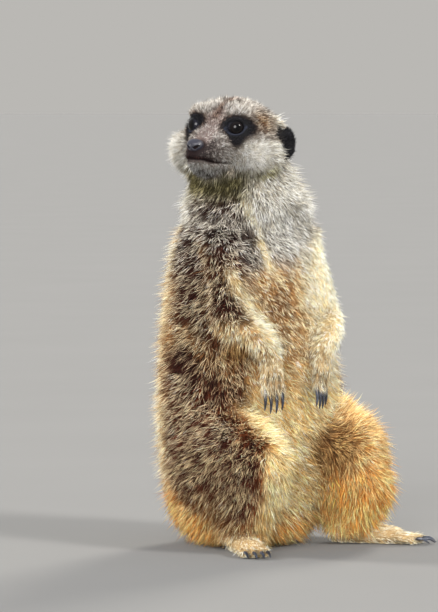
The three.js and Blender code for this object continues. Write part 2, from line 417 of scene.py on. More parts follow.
def makeSkin(setting):
    body, tree, owners = wholeBody(setting)
    places, corners = meshArrays(body.data)
    print("skin remeshed", len(corners), "triangles")
    owner = np.array([owners[tree.find_nearest(p)[2]] for p in places])
    around = Neighbours(corners, len(places))
    share = around.soften(np.eye(len(partNames))[owner], setting["ownerSteps"])
    depth = share @ np.array([setting["parts"][p]["depth"] for p in partNames])
    ease = share @ np.array([setting["parts"][p]["ease"] for p in partNames])
    depth = around.soften(depth * millimetre, setting["depthSteps"])
    ahead, _, _ = inHead(places)
    bare = fade(*setting["bareMuzzle"], ahead) * share[:, partNames.index("head")]
    for middle in eyeMiddles.values():
        bare = np.maximum(bare, 1 - fade(*setting["bareEye"], distanceFrom(middle, places)))
    depth = depth * (1 - bare) + setting["bareDepth"] * millimetre * bare
    outer = places
    for _ in range(setting["easeSteps"]):
        outer = outer + (around.mean(outer) - outer) * (ease * setting["easePull"])[:, None]
    sunk = outer
    least, more = setting["sinkPull"]
    for _ in range(setting["sinkSteps"]):
        sunk = sunk - cornerNormals(sunk, corners) * (depth / setting["sinkSteps"])[:, None]
        sunk = sunk + (around.mean(sunk) - sunk) * (least + ease * more)[:, None]
    body.data.vertices.foreach_set("co", sunk.ravel())
    body.data.update()
    thinOut(body, share, setting)
    refineFace(body)
    finalPlaces, finalCorners = meshArrays(body.data)
    picked = nearestOf(sunk, finalPlaces)
    print("skin thinned", len(finalCorners), "triangles")
    return body, finalPlaces, finalCorners, share[picked], outer[picked]


def thinOut(body, share, setting):
    # fewer triangles, mostly where the coat is long
    fine = share[:, [partNames.index(p) for p in setting["fine"]]].sum(axis=1)
    group = body.vertex_groups.new(name="coarse")
    keep = np.round(np.clip(1 - fine, 0, 1), 1)
    for level in np.unique(keep):
        group.add(np.flatnonzero(keep == level).tolist(), float(level), "REPLACE")
    body.data.calc_loop_triangles()
    thin = body.modifiers.new("thin", "DECIMATE")
    thin.ratio = setting["triangles"] / len(body.data.loop_triangles)
    thin.vertex_group = "coarse"
    thin.use_collapse_triangulate = True
    applyModifiers(body)
    body.vertex_groups.clear()


# face
faceSet = {
    "lidReach": 8.0,
    "mouthReach": 3.6,
    "reaches": (1.2, 1.0),  # each makes the triangles within it smaller once more
    "openingWidth": (6.8, 5.6),  # to its inner and its outer corner
    "openingHeight": 3.8,
    "openingPoint": 0.7,
    "openingSlant": 0.12,
    "openingEdge": (0.25, -0.25),
    "lidThickness": 0.8,
    "lidSpan": 6,
    "rim": 0.3,
    "rimAt": (0.7, 0.6),
    "skinBehind": 1.5,
    "mouthFront": (21.0, -19.5),  # forward and up
    "mouthCorner": (2.0, -20.4),
    "mouthSag": 1.6,
    "mouthDepth": 1.1,
    "mouthWidth": 0.9,
    # height, place above the line of the mouth and spread
    "upperLip": (0.35, 2.2, 1.6),
    "lowerLip": (0.5, -2.4, 1.5),
    "muzzleAhead": (2, 5),
    "muzzleAbove": (-60, -30),
    "muzzleAside": (17, 13),
}


def mouthLine(ahead):
    # height of the mouth line over the muzzle, in millimetres
    frontAhead, frontAbove = faceSet["mouthFront"]
    cornerAhead, cornerAbove = faceSet["mouthCorner"]
    along = np.clip((frontAhead - ahead) / (frontAhead - cornerAhead), -0.3, 1.3)
    sag = faceSet["mouthSag"] * np.sin(np.clip(along, 0, 1) * math.pi)
    return frontAbove + (cornerAbove - frontAbove) * along - sag


def onFace(place, reach):
    # near the lids or the lips
    eyeGap = min(np.linalg.norm(place - middle) for middle in eyeMiddles.values()) / millimetre
    if eyeGap < faceSet["lidReach"] * reach:
        return True
    ahead, _, above = inHead(place)
    return ahead > 0 and abs(above - mouthLine(ahead)) < faceSet["mouthReach"] * reach


def refineFace(body):
    # smaller triangles where the lids and the lips are
    shape = bmesh.new()
    shape.from_mesh(body.data)
    for reach in faceSet["reaches"]:
        chosen = [e for e in shape.edges if onFace(np.array((e.verts[0].co + e.verts[1].co) / 2), reach)]
        bmesh.ops.subdivide_edges(shape, edges=chosen, cuts=1, use_grid_fill=True)
    bmesh.ops.triangulate(shape, faces=[f for f in shape.faces if len(f.verts) > 3])
    shape.to_mesh(body.data)
    shape.free()


def openingEdge(across, height):
    # millimetres outside the almond between the lids
    inner, outer = faceSet["openingWidth"]
    wide = np.where(across > 0, outer, inner)
    half = faceSet["openingHeight"] * np.clip(1 - (across / wide) ** 2, 0, 1) ** faceSet["openingPoint"]
    return np.maximum(np.abs(height - faceSet["openingSlant"] * across) - half, np.abs(across) - wide)


def fromEye(side, places):
    # millimetres from the eye's middle, then towards its outer corner, its upper lid and its gaze
    look, outer, above = eyeAxes(side)
    offset = (places - eyeMiddles[side]) / millimetre
    return offset, offset @ outer, offset @ above, offset @ look


def sculptFace(places, corners):
    shaped = places.copy()
    normals = cornerNormals(shaped, corners)
    ahead, aside, above = inHead(shaped)
    # lips: a groove from under the nose back to the corners of the mouth
    gap = above - mouthLine(ahead)
    onMuzzle = fade(*faceSet["muzzleAhead"], ahead) * fade(*faceSet["muzzleAbove"], above)
    onMuzzle = onMuzzle * fade(*faceSet["muzzleAside"], np.abs(aside))
    lips = -bump(gap, 0, faceSet["mouthWidth"]) * faceSet["mouthDepth"]
    for height, middle, spread in (faceSet["upperLip"], faceSet["lowerLip"]):
        lips = lips + bump(gap, middle, spread) * height
    shaped += normals * (lips * onMuzzle * millimetre)[:, None]
    # lids: the skin lies over the eyeball outside the opening and behind it inside
    for side in bothSides:
        offset, across, height, depth = fromEye(side, shaped)
        reach = np.linalg.norm(offset, axis=1)
        radius = eyeRadius / millimetre
        outside = openingEdge(across, height)
        lid = radius + faceSet["lidThickness"] + faceSet["rim"] * bump(outside, *faceSet["rimAt"])
        hidden = np.minimum(radius - faceSet["skinBehind"], reach)
        opened = fade(*faceSet["openingEdge"], outside)
        target = np.maximum(reach, lid) * (1 - opened) + hidden * opened
        near = (depth > 0) & (reach < radius + faceSet["lidSpan"])
        move = np.where(near, target / np.maximum(reach, 1e-6), 1)
        shaped = eyeMiddles[side] + offset * move[:, None] * millimetre
    return shaped


pawSet = {
    # how deep the furrows between the digits are, and where they begin and are full, in millimetres
    "hand": {"furrow": 1.5, "begin": -6.0, "full": 6.0},
    "foot": {"furrow": 1.6, "begin": -16.0, "full": -4.0},
}

furrowSet = {
    "ends": (-0.4, 3.4),  # the digits that the furrows lie between
    "narrowness": 6,
    "offSoles": (-0.3, 0.5),  # how far the skin faces up where they begin and are full on the feet
}


def pawPlaces(limb, side, places):
    # how far along the paw a point lies, in millimetres, and which digit it is on, 0 to 3
    claws = [middleOf(f"claw_{limb}_{side}_{i}") for i in (1, 2, 3, 4)]
    row = claws[3] - claws[0]
    along = np.mean(claws, axis=0) - middleOf(f"{limb}_{side}")
    along = unit(along - unit(row) * (along @ unit(row)))
    tips = middleOf(f"{limb}_{side}") if limb == "hand" else np.mean(claws, axis=0)
    digit = (places - claws[0]) @ row / (row @ row) * 3
    return (places - tips) @ along / millimetre, digit


def furrows(limb, side, places):
    # 1 in the furrows between the digits of one paw, 0 along the digits and elsewhere
    setting = pawSet[limb]
    ahead, digit = pawPlaces(limb, side, places)
    first, last = furrowSet["ends"]
    between = (digit > first) & (digit < last) & (places[:, 0] * bothSides[side] > 0)
    deep = np.sin(digit * math.pi) ** furrowSet["narrowness"] * between
    deep = deep * fade(setting["begin"], setting["full"], ahead)
    return deep * partShare[:, partNames.index(limb)]


def sculptPaws(places, corners):
    normals = cornerNormals(places, corners)
    shaped = places.copy()
    for limb, setting in pawSet.items():
        for side in bothSides:
            deep = furrows(limb, side, places) * setting["furrow"] * millimetre
            if limb == "foot":
                deep = deep * fade(*furrowSet["offSoles"], normals[:, 2])
            shaped = shaped - normals * deep[:, None]
    return shaped


earSet = {"cup": 1.8, "cupSize": 0.62, "cupEdge": (1.0, 0.4), "facing": (0.0, 0.6)}


def sculptEars(places, corners):
    # the hollow on the outer face of each ear, inside a raised edge
    normals = cornerNormals(places, corners)
    shaped = places.copy()
    for side, sign in bothSides.items():
        low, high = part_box("ear_" + side)
        half = np.array(high - low) / 2
        outward = leftward * sign
        offset = (places - middleOf("ear_" + side)) / half
        flat = offset - outward * (offset @ outward)[:, None]
        reach = np.linalg.norm(flat, axis=1) / earSet["cupSize"]
        facing = fade(*earSet["facing"], normals @ outward) * partShare[:, partNames.index("ear")]
        hollow = fade(*earSet["cupEdge"], reach) * facing * earSet["cup"] * millimetre
        shaped = shaped - normals * hollow[:, None]
    return shaped


skin, skinPlaces, skinCorners, partShare, outerPlaces = makeSkin(skinSet)
skinPlaces = sculptFace(skinPlaces, skinCorners)
skinPlaces = sculptPaws(skinPlaces, skinCorners)
skinPlaces = sculptEars(skinPlaces, skinCorners)
skin.data.vertices.foreach_set("co", skinPlaces.ravel())
skin.data.update()
skin.data.polygons.foreach_set("use_smooth", np.ones(len(skin.data.polygons), bool))
skinNormals = cornerNormals(skinPlaces, skinCorners)
skinAround = Neighbours(skinCorners, len(skinPlaces))
print("skin", len(skinCorners), "triangles")


def share(*names):
    return sum(partShare[:, partNames.index(n)] for n in names)


# markings
markSet = {
    # the body's axis, in millimetres behind the middle of the floor, and how far the marks wander round it
    "axis": 8,
    "turnWander": 5,
    # noise from large to small: its size in metres and the start of its draw
    "patches": (0.05, 3),
    "speckles": (0.018, 5),
    "fine": (0.006, 6),
    # where the thighs' hair spreads from, in metres
    "whorls": {"left": (0.030, -0.036, 0.062), "right": (-0.045, -0.016, 0.099)},
    # the painted shade on the hair of the right elbow, in millimetres: its middle and how far it reaches
    "elbow": (-40, -28, 124),
    "elbowReach": (10, 10, 7),
    # how far the dark of each ear reaches, in millimetres
    "earReach": (11, 11, 15),
    # millimetres between the bands over the back
    "bandStep": 15,
    # the dark patch round an eye, in millimetres: to its outer and inner end, up and down
    "patchWide": (10.9, 10.4),
    "patchTall": (6.9, 6.3),
    "patchRound": (1.7, 1.9),
    "patchFront": -6,
    "offPatch": 9,
    # the lobe below it: half its width and how far down it reaches, where it is centred and how it narrows
    "lobe": (8.0, 12.0),
    "lobeMiddle": -0.6,
    "lobeTaper": 0.42,
    "lobeSquare": 6,
    "patchWander": ((0.0035, 11), (0.0012, 12)),
    "patchWanderShare": 0.10,
    # the painted highlight along the bare rim of the lids, mostly the lower lid: where it is centred and how
    # wide it is, in millimetres
    "lidRimHighlight": (0.35, 0.5),
    "lidRimHighlightReach": 9,
    "lidRimHighlightTop": (3.5, 0),
}

# each coat: colours at the root, middle and tip, share of pale tips, length in millimetres, lift in degrees
# and width in millimetres
coats = {
    "grizzled": ((16, 7, 6), (78, 32, 17), (255, 234, 194), 0.40, 9.2, 49, 0.44),
    "russet": ((28, 12, 8), (122, 56, 25), (255, 230, 182), 0.42, 9.2, 49, 0.44),
    "rust": ((66, 33, 16), (166, 88, 40), (255, 222, 156), 0.44, 9.5, 46, 0.48),
    "shoulder": ((20, 12, 11), (66, 39, 30), (255, 246, 226), 0.45, 7.8, 46, 0.46),
    # dark bands over the back, also painted shade under the flank's fold
    "band": ((16, 9, 8), (50, 28, 20), (200, 152, 106), 0.16, 9.0, 46, 0.50),
    # painted light: pale hair where it is seen against the light, and along the flank's fold
    "litPale": ((78, 48, 30), (192, 142, 86), (255, 238, 192), 0.66, 9.5, 48, 0.48),
    "haunch": ((14, 6, 5), (74, 29, 15), (255, 224, 172), 0.32, 9.2, 47, 0.45),
    "rump": ((176, 104, 44), (244, 168, 84), (255, 228, 158), 0.56, 12.0, 42, 0.55),
    "fringe": ((186, 116, 52), (250, 178, 92), (255, 232, 166), 0.58, 15.0, 34, 0.50),
    "belly": ((216, 168, 102), (252, 214, 144), (255, 246, 206), 0.64, 9.0, 32, 0.50),
    "chest": ((126, 84, 48), (224, 180, 116), (255, 245, 206), 0.52, 6.0, 40, 0.48),
    "speckle": ((66, 38, 26), (142, 98, 62), (255, 240, 200), 0.42, 6.0, 42, 0.46),
    "greyFront": ((78, 72, 70), (226, 220, 206), (255, 255, 250), 0.66, 7.4, 42, 0.48),
    "paleSide": ((176, 144, 98), (248, 230, 184), (255, 254, 234), 0.74, 9.0, 38, 0.48),
    "cream": ((164, 136, 92), (246, 228, 182), (255, 253, 232), 0.66, 5.0, 32, 0.42),
    "creamEdge": ((228, 198, 142), (255, 246, 204), (255, 255, 236), 0.88, 5.5, 28, 0.42),
    "golden": ((160, 108, 54), (230, 178, 108), (252, 228, 176), 0.52, 11.5, 36, 0.50),
    "orange": ((200, 118, 48), (255, 178, 86), (255, 232, 160), 0.56, 12.5, 36, 0.52),
    # painted shade: darker hair in the crease by the left thigh and the bend of the right elbow
    "hollow": ((60, 38, 22), (142, 98, 52), (236, 194, 128), 0.40, 9.0, 32, 0.50),
    "paleThigh": ((206, 160, 94), (250, 220, 154), (255, 246, 202), 0.70, 10.0, 34, 0.48),
    "neck": ((88, 80, 70), (214, 206, 188), (255, 255, 248), 0.64, 10.0, 42, 0.46),
    # the throat's olive hair, darkened with painted shade under the jaw
    "throatShade": ((30, 27, 14), (86, 79, 46), (172, 162, 118), 0.32, 5.5, 30, 0.42),
    "jaw": ((56, 52, 34), (158, 150, 108), (240, 234, 198), 0.52, 5.5, 34, 0.44),
    "face": ((25, 19, 17), (110, 101, 94), (226, 220, 212), 0.45, 3.6, 36, 0.42),
    "brow": ((54, 47, 42), (164, 156, 146), (244, 238, 230), 0.52, 4.4, 42, 0.38),
    "cheek": ((60, 52, 44), (200, 192, 176), (255, 255, 246), 0.60, 5.0, 38, 0.46),
    "ruff": ((104, 94, 78), (222, 214, 196), (255, 255, 248), 0.68, 6.5, 46, 0.44),
    "earTuft": ((110, 96, 76), (226, 214, 190), (255, 253, 242), 0.72, 8.2, 44, 0.38),
    "muzzle": ((36, 29, 29), (144, 133, 126), (246, 240, 232), 0.46, 2.8, 34, 0.40),
    "muzzleDark": ((22, 17, 18), (66, 56, 54), (168, 156, 150), 0.26, 2.0, 30, 0.34),
    "bridge": ((62, 50, 48), (164, 146, 140), (232, 222, 216), 0.48, 2.2, 30, 0.36),
    "lips": ((16, 8, 10), (44, 24, 24), (110, 76, 72), 0.16, 1.8, 26, 0.30),
    # mostly dark under white tips: painted shade under the jaw
    "chin": ((20, 18, 18), (72, 68, 65), (255, 254, 250), 0.36, 3.8, 38, 0.42),
    # the black of the eye patches, also painted shade in the furrows between the digits
    "dark": ((5, 5, 8), (12, 11, 16), (42, 39, 50), 0.20, 2.2, 28, 0.32),
    "lash": ((5, 5, 8), (12, 11, 16), (48, 42, 50), 0.20, 3.4, 36, 0.32),
    "darkEdge": ((20, 13, 12), (62, 44, 38), (150, 122, 104), 0.26, 2.6, 28, 0.34),
    # painted highlight along the rim of the lower lid
    "lidRimHighlight": ((30, 33, 44), (70, 76, 96), (118, 126, 148), 0.30, 0.8, 18, 0.16),
    "temple": ((42, 27, 18), (128, 90, 56), (226, 202, 166), 0.38, 3.8, 32, 0.42),
    "stripe": ((22, 13, 12), (74, 47, 40), (196, 168, 150), 0.26, 3.0, 28, 0.38),
    "ear": ((4, 4, 7), (11, 10, 15), (30, 29, 38), 0.16, 2.6, 24, 0.30),
    "paw": ((136, 106, 66), (236, 212, 164), (255, 250, 226), 0.66, 4.6, 17, 0.32),
    # painted rim light on the hair along the side of the back
    "rimLitFringe": ((150, 112, 70), (240, 210, 156), (255, 252, 226), 0.78, 10.0, 48, 0.44),
    "lowerLip": ((56, 48, 44), (190, 182, 172), (255, 255, 248), 0.60, 2.4, 32, 0.36),
    "finger": ((118, 90, 58), (226, 200, 152), (255, 250, 226), 0.62, 7.2, 15, 0.32),
    "crook": ((214, 174, 116), (255, 238, 186), (255, 254, 230), 0.82, 8.5, 38, 0.42),
    "tailTop": ((92, 60, 36), (184, 130, 76), (250, 218, 164), 0.48, 7.5, 28, 0.44),
    "tailEnd": ((12, 10, 11), (30, 22, 20), (76, 60, 50), 0.30, 7.5, 26, 0.44),
}


# where a row of values holds each of them, frost being the share of pale tips
coatColumns = {
    "root": slice(0, 3), "middle": slice(3, 6), "tip": slice(6, 9),
    "frost": 9, "length": 10, "lift": 11, "width": 12,
}


def coatRow(name):
    root, mid, tip, frost, length, lift, width = coats[name]
    return np.array((*linear(root), *linear(mid), *linear(tip), frost, length, lift, width))


# what the masks are made of: millimetres, and degrees round the body from the breast, left positive
x, y, z = (outerPlaces / millimetre).T
ahead, aside, above = inHead(outerPlaces)
patches, speckles, fine = (ripple(outerPlaces, *markSet[grain]) for grain in ("patches", "speckles", "fine"))
turn = np.degrees(np.arctan2(x, markSet["axis"] - y)) + markSet["turnWander"] * speckles
farRound = np.abs(turn)
farAside = np.abs(aside)
frontRight = unit(np.array((-0.64, -0.77, 0.0)))
frontLeft = unit(np.array((0.77, -0.64, 0.0)))
body = share("trunk")
# below 0 on the dark side of the line that slants from the neck across the breast
breastLine = turn + 21 + 0.62 * (z - 178)
coatValues = np.zeros((len(skinPlaces), len(coatRow("grizzled"))))


def lay(mask, name):
    # one coat over what is there, as far as its mask says
    # fade(none, full, measure) and bump(measure, middle, spread) make the masks
    coatValues[:] = coatValues * (1 - mask)[:, None] + coatRow(name) * mask[:, None]


def markBack():
    lay(np.ones(len(skinPlaces)), "grizzled")
    lay(fade(-0.1, 0.5, patches + 0.4 * fine) * 0.85, "russet")
    lay(fade(160, 192, z + 10 * speckles) * share("trunk", "neck", "upper_arm"), "shoulder")
    bands = fade(-0.1, 0.5, np.sin((z + 4 * speckles) / markSet["bandStep"] * 2 * math.pi))
    onBack = fade(92, 118, farRound) * fade(35, 50, z) * (body + share("thigh"))
    # painted rim light: paler hair over the back, where it is seen against the light
    lay(onBack * fade(175, 150, z) * 0.75, "litPale")
    # painted rim light: a pale fringe along the side of the back, where the hair is seen against the light
    onSide = fade(106, 124, farRound) * fade(168, 136, farRound)
    lay(onBack * onSide * fade(208, 190, z + 8 * patches) * 0.72, "rimLitFringe")
    lay(onBack * bands * fade(120, 146, farRound) * fade(185, 155, z) * 0.9, "band")
    lay(onBack * fade(138, 165, farRound) * fade(168, 186, z) * 0.8, "shoulder")
    # painted light and shade for a fold that runs forwards and down over each flank, above the haunch: a pale
    # lit stripe along it and a dark shaded band below it, the skin itself having no fold there
    fold = 135 - 24 * fade(-88, -44, -farRound) + 4 * speckles
    flank = fade(42, 52, farRound) * fade(128, 108, farRound)
    lay(body * bump(z, fold, 4.5) * flank * 0.85, "litPale")
    lay(body * bump(z, fold - 15, 7) * flank * 0.6, "band")


def markBreast():
    breast = fade(-46, -34, turn) * fade(74, 58, turn) * body
    lay(breast * fade(168, 182, z + 6 * speckles), "greyFront")
    lay(breast * fade(182, 168, z + 6 * speckles), "chest")
    lay(breast * bump(turn, -4, 20) * bump(z, 146, 30) * fade(-0.3, 0.5, speckles + fine), "speckle")
    lay(breast * fade(8, 30, turn) * fade(192, 172, z), "paleSide")
    # the dark shoulder ends in a pale line that slants across the breast
    dark = fade(3, -3, breastLine) * fade(-60, -50, turn) * fade(170, 178, z)
    lay(share("trunk", "neck") * dark, "shoulder")
    # painted shadow: darker hair on the pale side of the slanting line, near its top
    lay(body * bump(breastLine, 13, 5) * bump(z, 187, 7) * 0.55, "shoulder")
    lay(breast * fade(118, 92, z + 8 * speckles), "belly")


def markLegs():
    lay(fade(46, 18, z + 6 * patches) * (body * fade(20, 60, farRound) + share("thigh")), "rump")
    lay(fade(26, 16, z) * fade(100, 70, farRound) * share("trunk", "thigh", "shank"), "fringe")
    leftLeg = share("thigh", "shank") * fade(-4, 6, x)
    lay(leftLeg, "golden")
    lay(leftLeg * fade(62, 30, z + 6 * speckles), "orange")
    outside = fade(-0.34, -0.7, skinNormals @ frontRight + 0.1 * speckles)
    lay(leftLeg * outside * fade(24, 48, z), "haunch")
    # painted shade in the crease by the left thigh's whorl
    crease = distanceFrom(np.array(markSet["whorls"]["left"]), outerPlaces)
    lay(fade(24, 8, crease + 4 * fine) * share("thigh", "trunk"), "hollow")
    rightLeg = share("thigh", "shank") * fade(6, -4, x)
    facing = skinNormals @ frontLeft + 0.10 * speckles + 0.08 * fine
    lay(rightLeg * fade(84, 60, z) * 0.8, "haunch")
    lay(rightLeg * bump(facing, -0.12, 0.2) * 0.75, "rust")
    inner = rightLeg * fade(-0.10, 0.22, facing)
    lay(inner, "paleThigh")
    lay(inner * fade(-0.1, 0.5, speckles + fine) * 0.5, "golden")
    lay(inner * fade(70, 46, z) * fade(-0.2, 0.4, speckles + fine) * 0.7, "golden")
    lay(inner * fade(34, 8, z), "fringe")


def markArms():
    leftSide, rightSide = x > 0, x <= 0
    edge = fade(0.45, 0.85, skinNormals @ unit(np.array((0.62, -0.78, 0.1))))
    lay(share("upper_arm") * leftSide * fade(204, 184, z), "creamEdge")
    lay(share("forearm"), "cream")
    lay(share("forearm") * fade(0.0, 0.6, speckles) * 0.7 * rightSide, "chest")
    lay(share("forearm") * edge * 0.8, "creamEdge")
    # long pale hair fills the bend of the right arm, on a line from the shoulder to the wrist
    across = 0.77 * x - 0.64 * y
    slant = (z - 172 + 1.49 * (across + 14)) / 1.79 + 0.8 * fine
    bend = fade(178, 170, z) * fade(120, 128, z) * fade(-64, -54, turn) * fade(2, -8, turn)
    upperArm = share("upper_arm", "forearm") * rightSide * fade(-4.5, -7.5, slant)
    lay(upperArm * fade(126, 138, z) * 0.75, "chest")
    lay(upperArm * fade(136, 148, z), "grizzled")
    lay(body * bump(slant, 6, 3.4) * bend * 0.75, "speckle")
    lay(share("trunk", "upper_arm", "forearm") * bump(slant, -1.5, 3.8) * bend, "crook")
    # painted shade on the inner side of the right elbow
    elbow = (outerPlaces / millimetre - markSet["elbow"]) / np.array(markSet["elbowReach"])
    lay(fade(1.2, 0.6, np.linalg.norm(elbow, axis=1) + 0.15 * fine), "hollow")


def markPawsAndTail():
    lay(share("hand", "foot"), "paw")
    for side, sign in bothSides.items():
        clawLevel = middleOf("claw_hand_" + side + "_2")[2] / millimetre
        lay(share("hand") * (x * sign > 0) * fade(18, 11, z - clawLevel), "finger")
    # painted shade: the furrows between the digits are darkened
    for limb in pawSet:
        for side in bothSides:
            lay(fade(0.3, 0.8, furrows(limb, side, skinPlaces)), "dark")
    lay(fade(0.3, 0.8, share("tail")), "tailTop")
    lay(fade(36, 24, distanceFrom(middleOf("tail_tip"), skinPlaces)) * share("tail"), "tailEnd")


def markNeck():
    dark = fade(3, -3, breastLine) * fade(225, 216, z) * fade(110, 96, farRound)
    lay(share("neck"), "neck")
    lay(share("neck") * fade(-0.1, 0.4, -skinNormals[:, 1]) * fade(218, 208, z) * 0.8, "greyFront")
    lay(share("neck") * dark, "shoulder")
    lay(share("neck") * fade(112, 145, farRound) * fade(238, 208, z + 6 * speckles) * 0.85, "shoulder")
    edge = fade(1, 2.4, breastLine) * fade(8.5, 6.5, breastLine) * fade(168, 176, z) * fade(220, 210, z)
    lay(share("trunk", "neck") * edge, "creamEdge")


def markHead():
    onHead = fade(0.35, 0.65, share("head", "nose", "eye"))
    headAndNeck = np.maximum(onHead, share("neck"))
    level = above + 2 * fine
    lay(onHead, "face")
    lay(onHead * fade(-5, -10, level) * fade(6, 15, farAside), "cheek")
    cheekFur = np.maximum(onHead, share("neck") * fade(-46, -36, above))
    lay(cheekFur * fade(-3, -11, above) * fade(23, 30, farAside) * fade(-34, -24, ahead), "ruff")
    lay(onHead * bump(above, 12, 6) * bump(farAside, 14, 9) * fade(-26, -12, ahead), "brow")
    lay(onHead * fade(-19, -25, level) * fade(2, -8, ahead) * fade(8, 16, aside), "jaw")
    # painted shade under the jaw: the throat's band is darkened
    under = fade(-22.5, -26, level) * fade(-46, -38, level) * fade(-34, -16, ahead)
    lay(headAndNeck * under * fade(30, 21, farAside), "throatShade")
    lay(headAndNeck * bump(ahead, -31, 9) * bump(above, 4, 8) * fade(19, 25, farAside), "earTuft")
    # muzzle, bridge and crown
    nearNose = distanceFrom(noseMiddle, skinPlaces)
    lay(onHead * fade(2, 10, ahead), "muzzle")
    lay(onHead * fade(17, 9, nearNose + 1.5 * fine) * fade(2, 8, ahead), "muzzleDark")
    bridge = fade(-4, 5, ahead) * fade(7.5, 4, np.abs(aside + 0.6 * fine)) * fade(-12, -7, above)
    lay(onHead * bridge, "bridge")
    lay(onHead * bump(aside + 0.8 * fine, 0, 2.3) * fade(3, 6, above) * fade(-30, -14, ahead), "stripe")
    lay(onHead * bump(aside + fine, 0, 4.2) * bump(above, 7, 3.6) * fade(-6, 0, ahead), "stripe")
    lay(onHead * bump(farAside, 26, 7) * bump(above + fine, 5, 8) * bump(ahead, -12, 8), "temple")
    # chin and lips
    lipGap = above - mouthLine(ahead)
    lipWidth = 0.8 + 0.9 * fade(6, 18, ahead)
    untilCorners = fade(17, 13, farAside)
    # painted shade under the jaw: the chin's hair is dark, with white tips of its own
    lay(onHead * fade(7, 13, ahead) * fade(-1.6, -3.0, lipGap) * fade(-14, -9, lipGap), "chin")
    lay(onHead * fade(5, 11, ahead) * bump(lipGap, -3.4, 1.8) * untilCorners, "lowerLip")
    lay(onHead * fade(1, 4, ahead) * untilCorners * fade(1.3, 0.8, np.abs(lipGap - 0.5) / lipWidth), "lips")
    for side in bothSides:
        markEyeAndEar(side, onHead)
    lay(fade(0.35, 0.6, share("ear")), "ear")
    lay(fade(7.4, 5.5, nearNose) * onHead, "lips")


def markEyeAndEar(side, onHead):
    offset, across, height, depth = fromEye(side, skinPlaces)
    edge = eyePatch(across, height, depth)
    dark = onHead * fade(1.12, 0.86, edge)
    lay(onHead * fade(1.42, 1.06, edge), "darkEdge")
    lay(dark, "dark")
    lay(dark * fade(4.5, 7.5, across), "lash")
    # painted highlight: a pale bluish line along the lids' rim, fading out over the upper lid
    rim = bump(openingEdge(across, height), *markSet["lidRimHighlight"]) * fade(*markSet["lidRimHighlightTop"], height)
    lay(onHead * rim * (np.linalg.norm(offset, axis=1) < markSet["lidRimHighlightReach"]), "lidRimHighlight")
    fromEar = (skinPlaces - middleOf("ear_" + side)) / millimetre / np.array(markSet["earReach"])
    onEar = fade(1.15, 0.9, np.linalg.norm(fromEar, axis=1) + 0.12 * fine)
    lay(onEar * (onHead + share("neck")) * fade(-46, -42, ahead), "ear")


def eyePatch(across, height, depth):
    # distance from the edge of the dark patch round an eye: a wide oval with a rounded lobe below
    wide = np.where(across > 0, *markSet["patchWide"])
    tall = np.where(height > 0, *markSet["patchTall"])
    wideRound, tallRound = markSet["patchRound"]
    oval = np.abs(across / wide) ** wideRound + np.abs(height / tall) ** tallRound
    lobeWide, lobeTall = markSet["lobe"]
    lobeHalf = np.clip(lobeWide + markSet["lobeTaper"] * height, 1.0, lobeWide)
    lobe = ((across - markSet["lobeMiddle"]) / lobeHalf) ** 2 + np.clip(height, 0, None)
    lobe = lobe + np.abs(height / lobeTall) ** markSet["lobeSquare"]
    wander = sum(ripple(skinPlaces, *grain) for grain in markSet["patchWander"]) * markSet["patchWanderShare"]
    return np.where(depth > markSet["patchFront"], np.minimum(oval, lobe) + wander, markSet["offPatch"])


markBack()
markBreast()
markLegs()
markArms()
markPawsAndTail()
markNeck()
markHead()
coatValues = skinAround.soften(coatValues, 2)
print("markings")


# lie of the coat
combSet = {
    # how much each pull adds to the main lie, and metres round the nose and the ears
    "easeSteps": 14,
    "fromNose": (0.002, 0.012),  # how far above the nose the head's hair parts from, and its fall
    "backward": {"trunk": 0.4, "neck": 0.35, "forearm": 0.35, "rightThigh": 0.25},
    "acrossBelly": (0.35, 0.5),  # high on the belly, and what is added low on it
    "thighFall": 0.6,
    "toToes": 0.3,
    "earMiddle": (0.006, 0.003),  # how far ahead of the ear's middle and below it the ear's hair parts from
}


def alongSkin(lie, normals):
    return lie - normals * (lie * normals).sum(axis=1, keepdims=True)


def combing(places, normals):
    front = fade(0.2, 0.8, -normals[:, 1])[:, None]
    low = fade(0.1, 0.07, outerPlaces[:, 2])[:, None]
    down, back, left = np.array((0, 0, -1.0)), np.array((0, 1.0, 0)), np.array((1.0, 0, 0))
    backward = combSet["backward"]
    lie = np.zeros_like(places)

    def comb(name, direction):
        nonlocal lie
        lie = lie + share(name)[:, None] * unit(direction + np.zeros_like(places))

    high, more = combSet["acrossBelly"]
    comb("trunk", down + back * backward["trunk"] * (1 - front) + left * front * (high + more * low))
    comb("neck", down + back * backward["neck"])
    above, fall = combSet["fromNose"]
    comb("head", places - (noseMiddle + upward * above) + down * fall)
    comb("nose", places - noseMiddle)
    comb("eye", places - noseMiddle)
    comb("tail", middleOf("tail_tip") - middleOf("tail_base"))
    for side, sign in bothSides.items():
        mine = (np.where(outerPlaces[:, 0] > 0, 1, -1) == sign)[:, None]
        lower = middleOf("hand_" + side) - middleOf("forearm_" + side)
        toes = middleOf(f"claw_foot_{side}_2") - middleOf("foot_" + side)
        comb("upper_arm", mine * (middleOf("forearm_" + side) - middleOf("upper_arm_" + side)))
        comb("forearm", mine * (unit(lower) + back * backward["forearm"]))
        comb("hand", mine * (middleOf(f"claw_hand_{side}_2") - middleOf("hand_" + side)))
        comb("foot", mine * toes)
        behind = backward["rightThigh"] if side == "right" else 0
        radial = unit(places - np.array(markSet["whorls"][side]))
        comb("thigh", mine * (radial + down * combSet["thighFall"] + back * behind))
        comb("shank", mine * (down + unit(toes) * combSet["toToes"]))
        ahead, above = combSet["earMiddle"]
        fromEar = places - middleOf("ear_" + side) - forward * ahead + upward * above
        comb("ear", np.where(share("ear")[:, None] > 0.01, mine * fromEar, 0))
    lie = alongSkin(lie, normals)
    for _ in range(combSet["easeSteps"]):
        lie = alongSkin(skinAround.mean(unit(lie)), normals)
    return unit(lie)


skinLie = combing(skinPlaces, skinNormals)
print("combing")


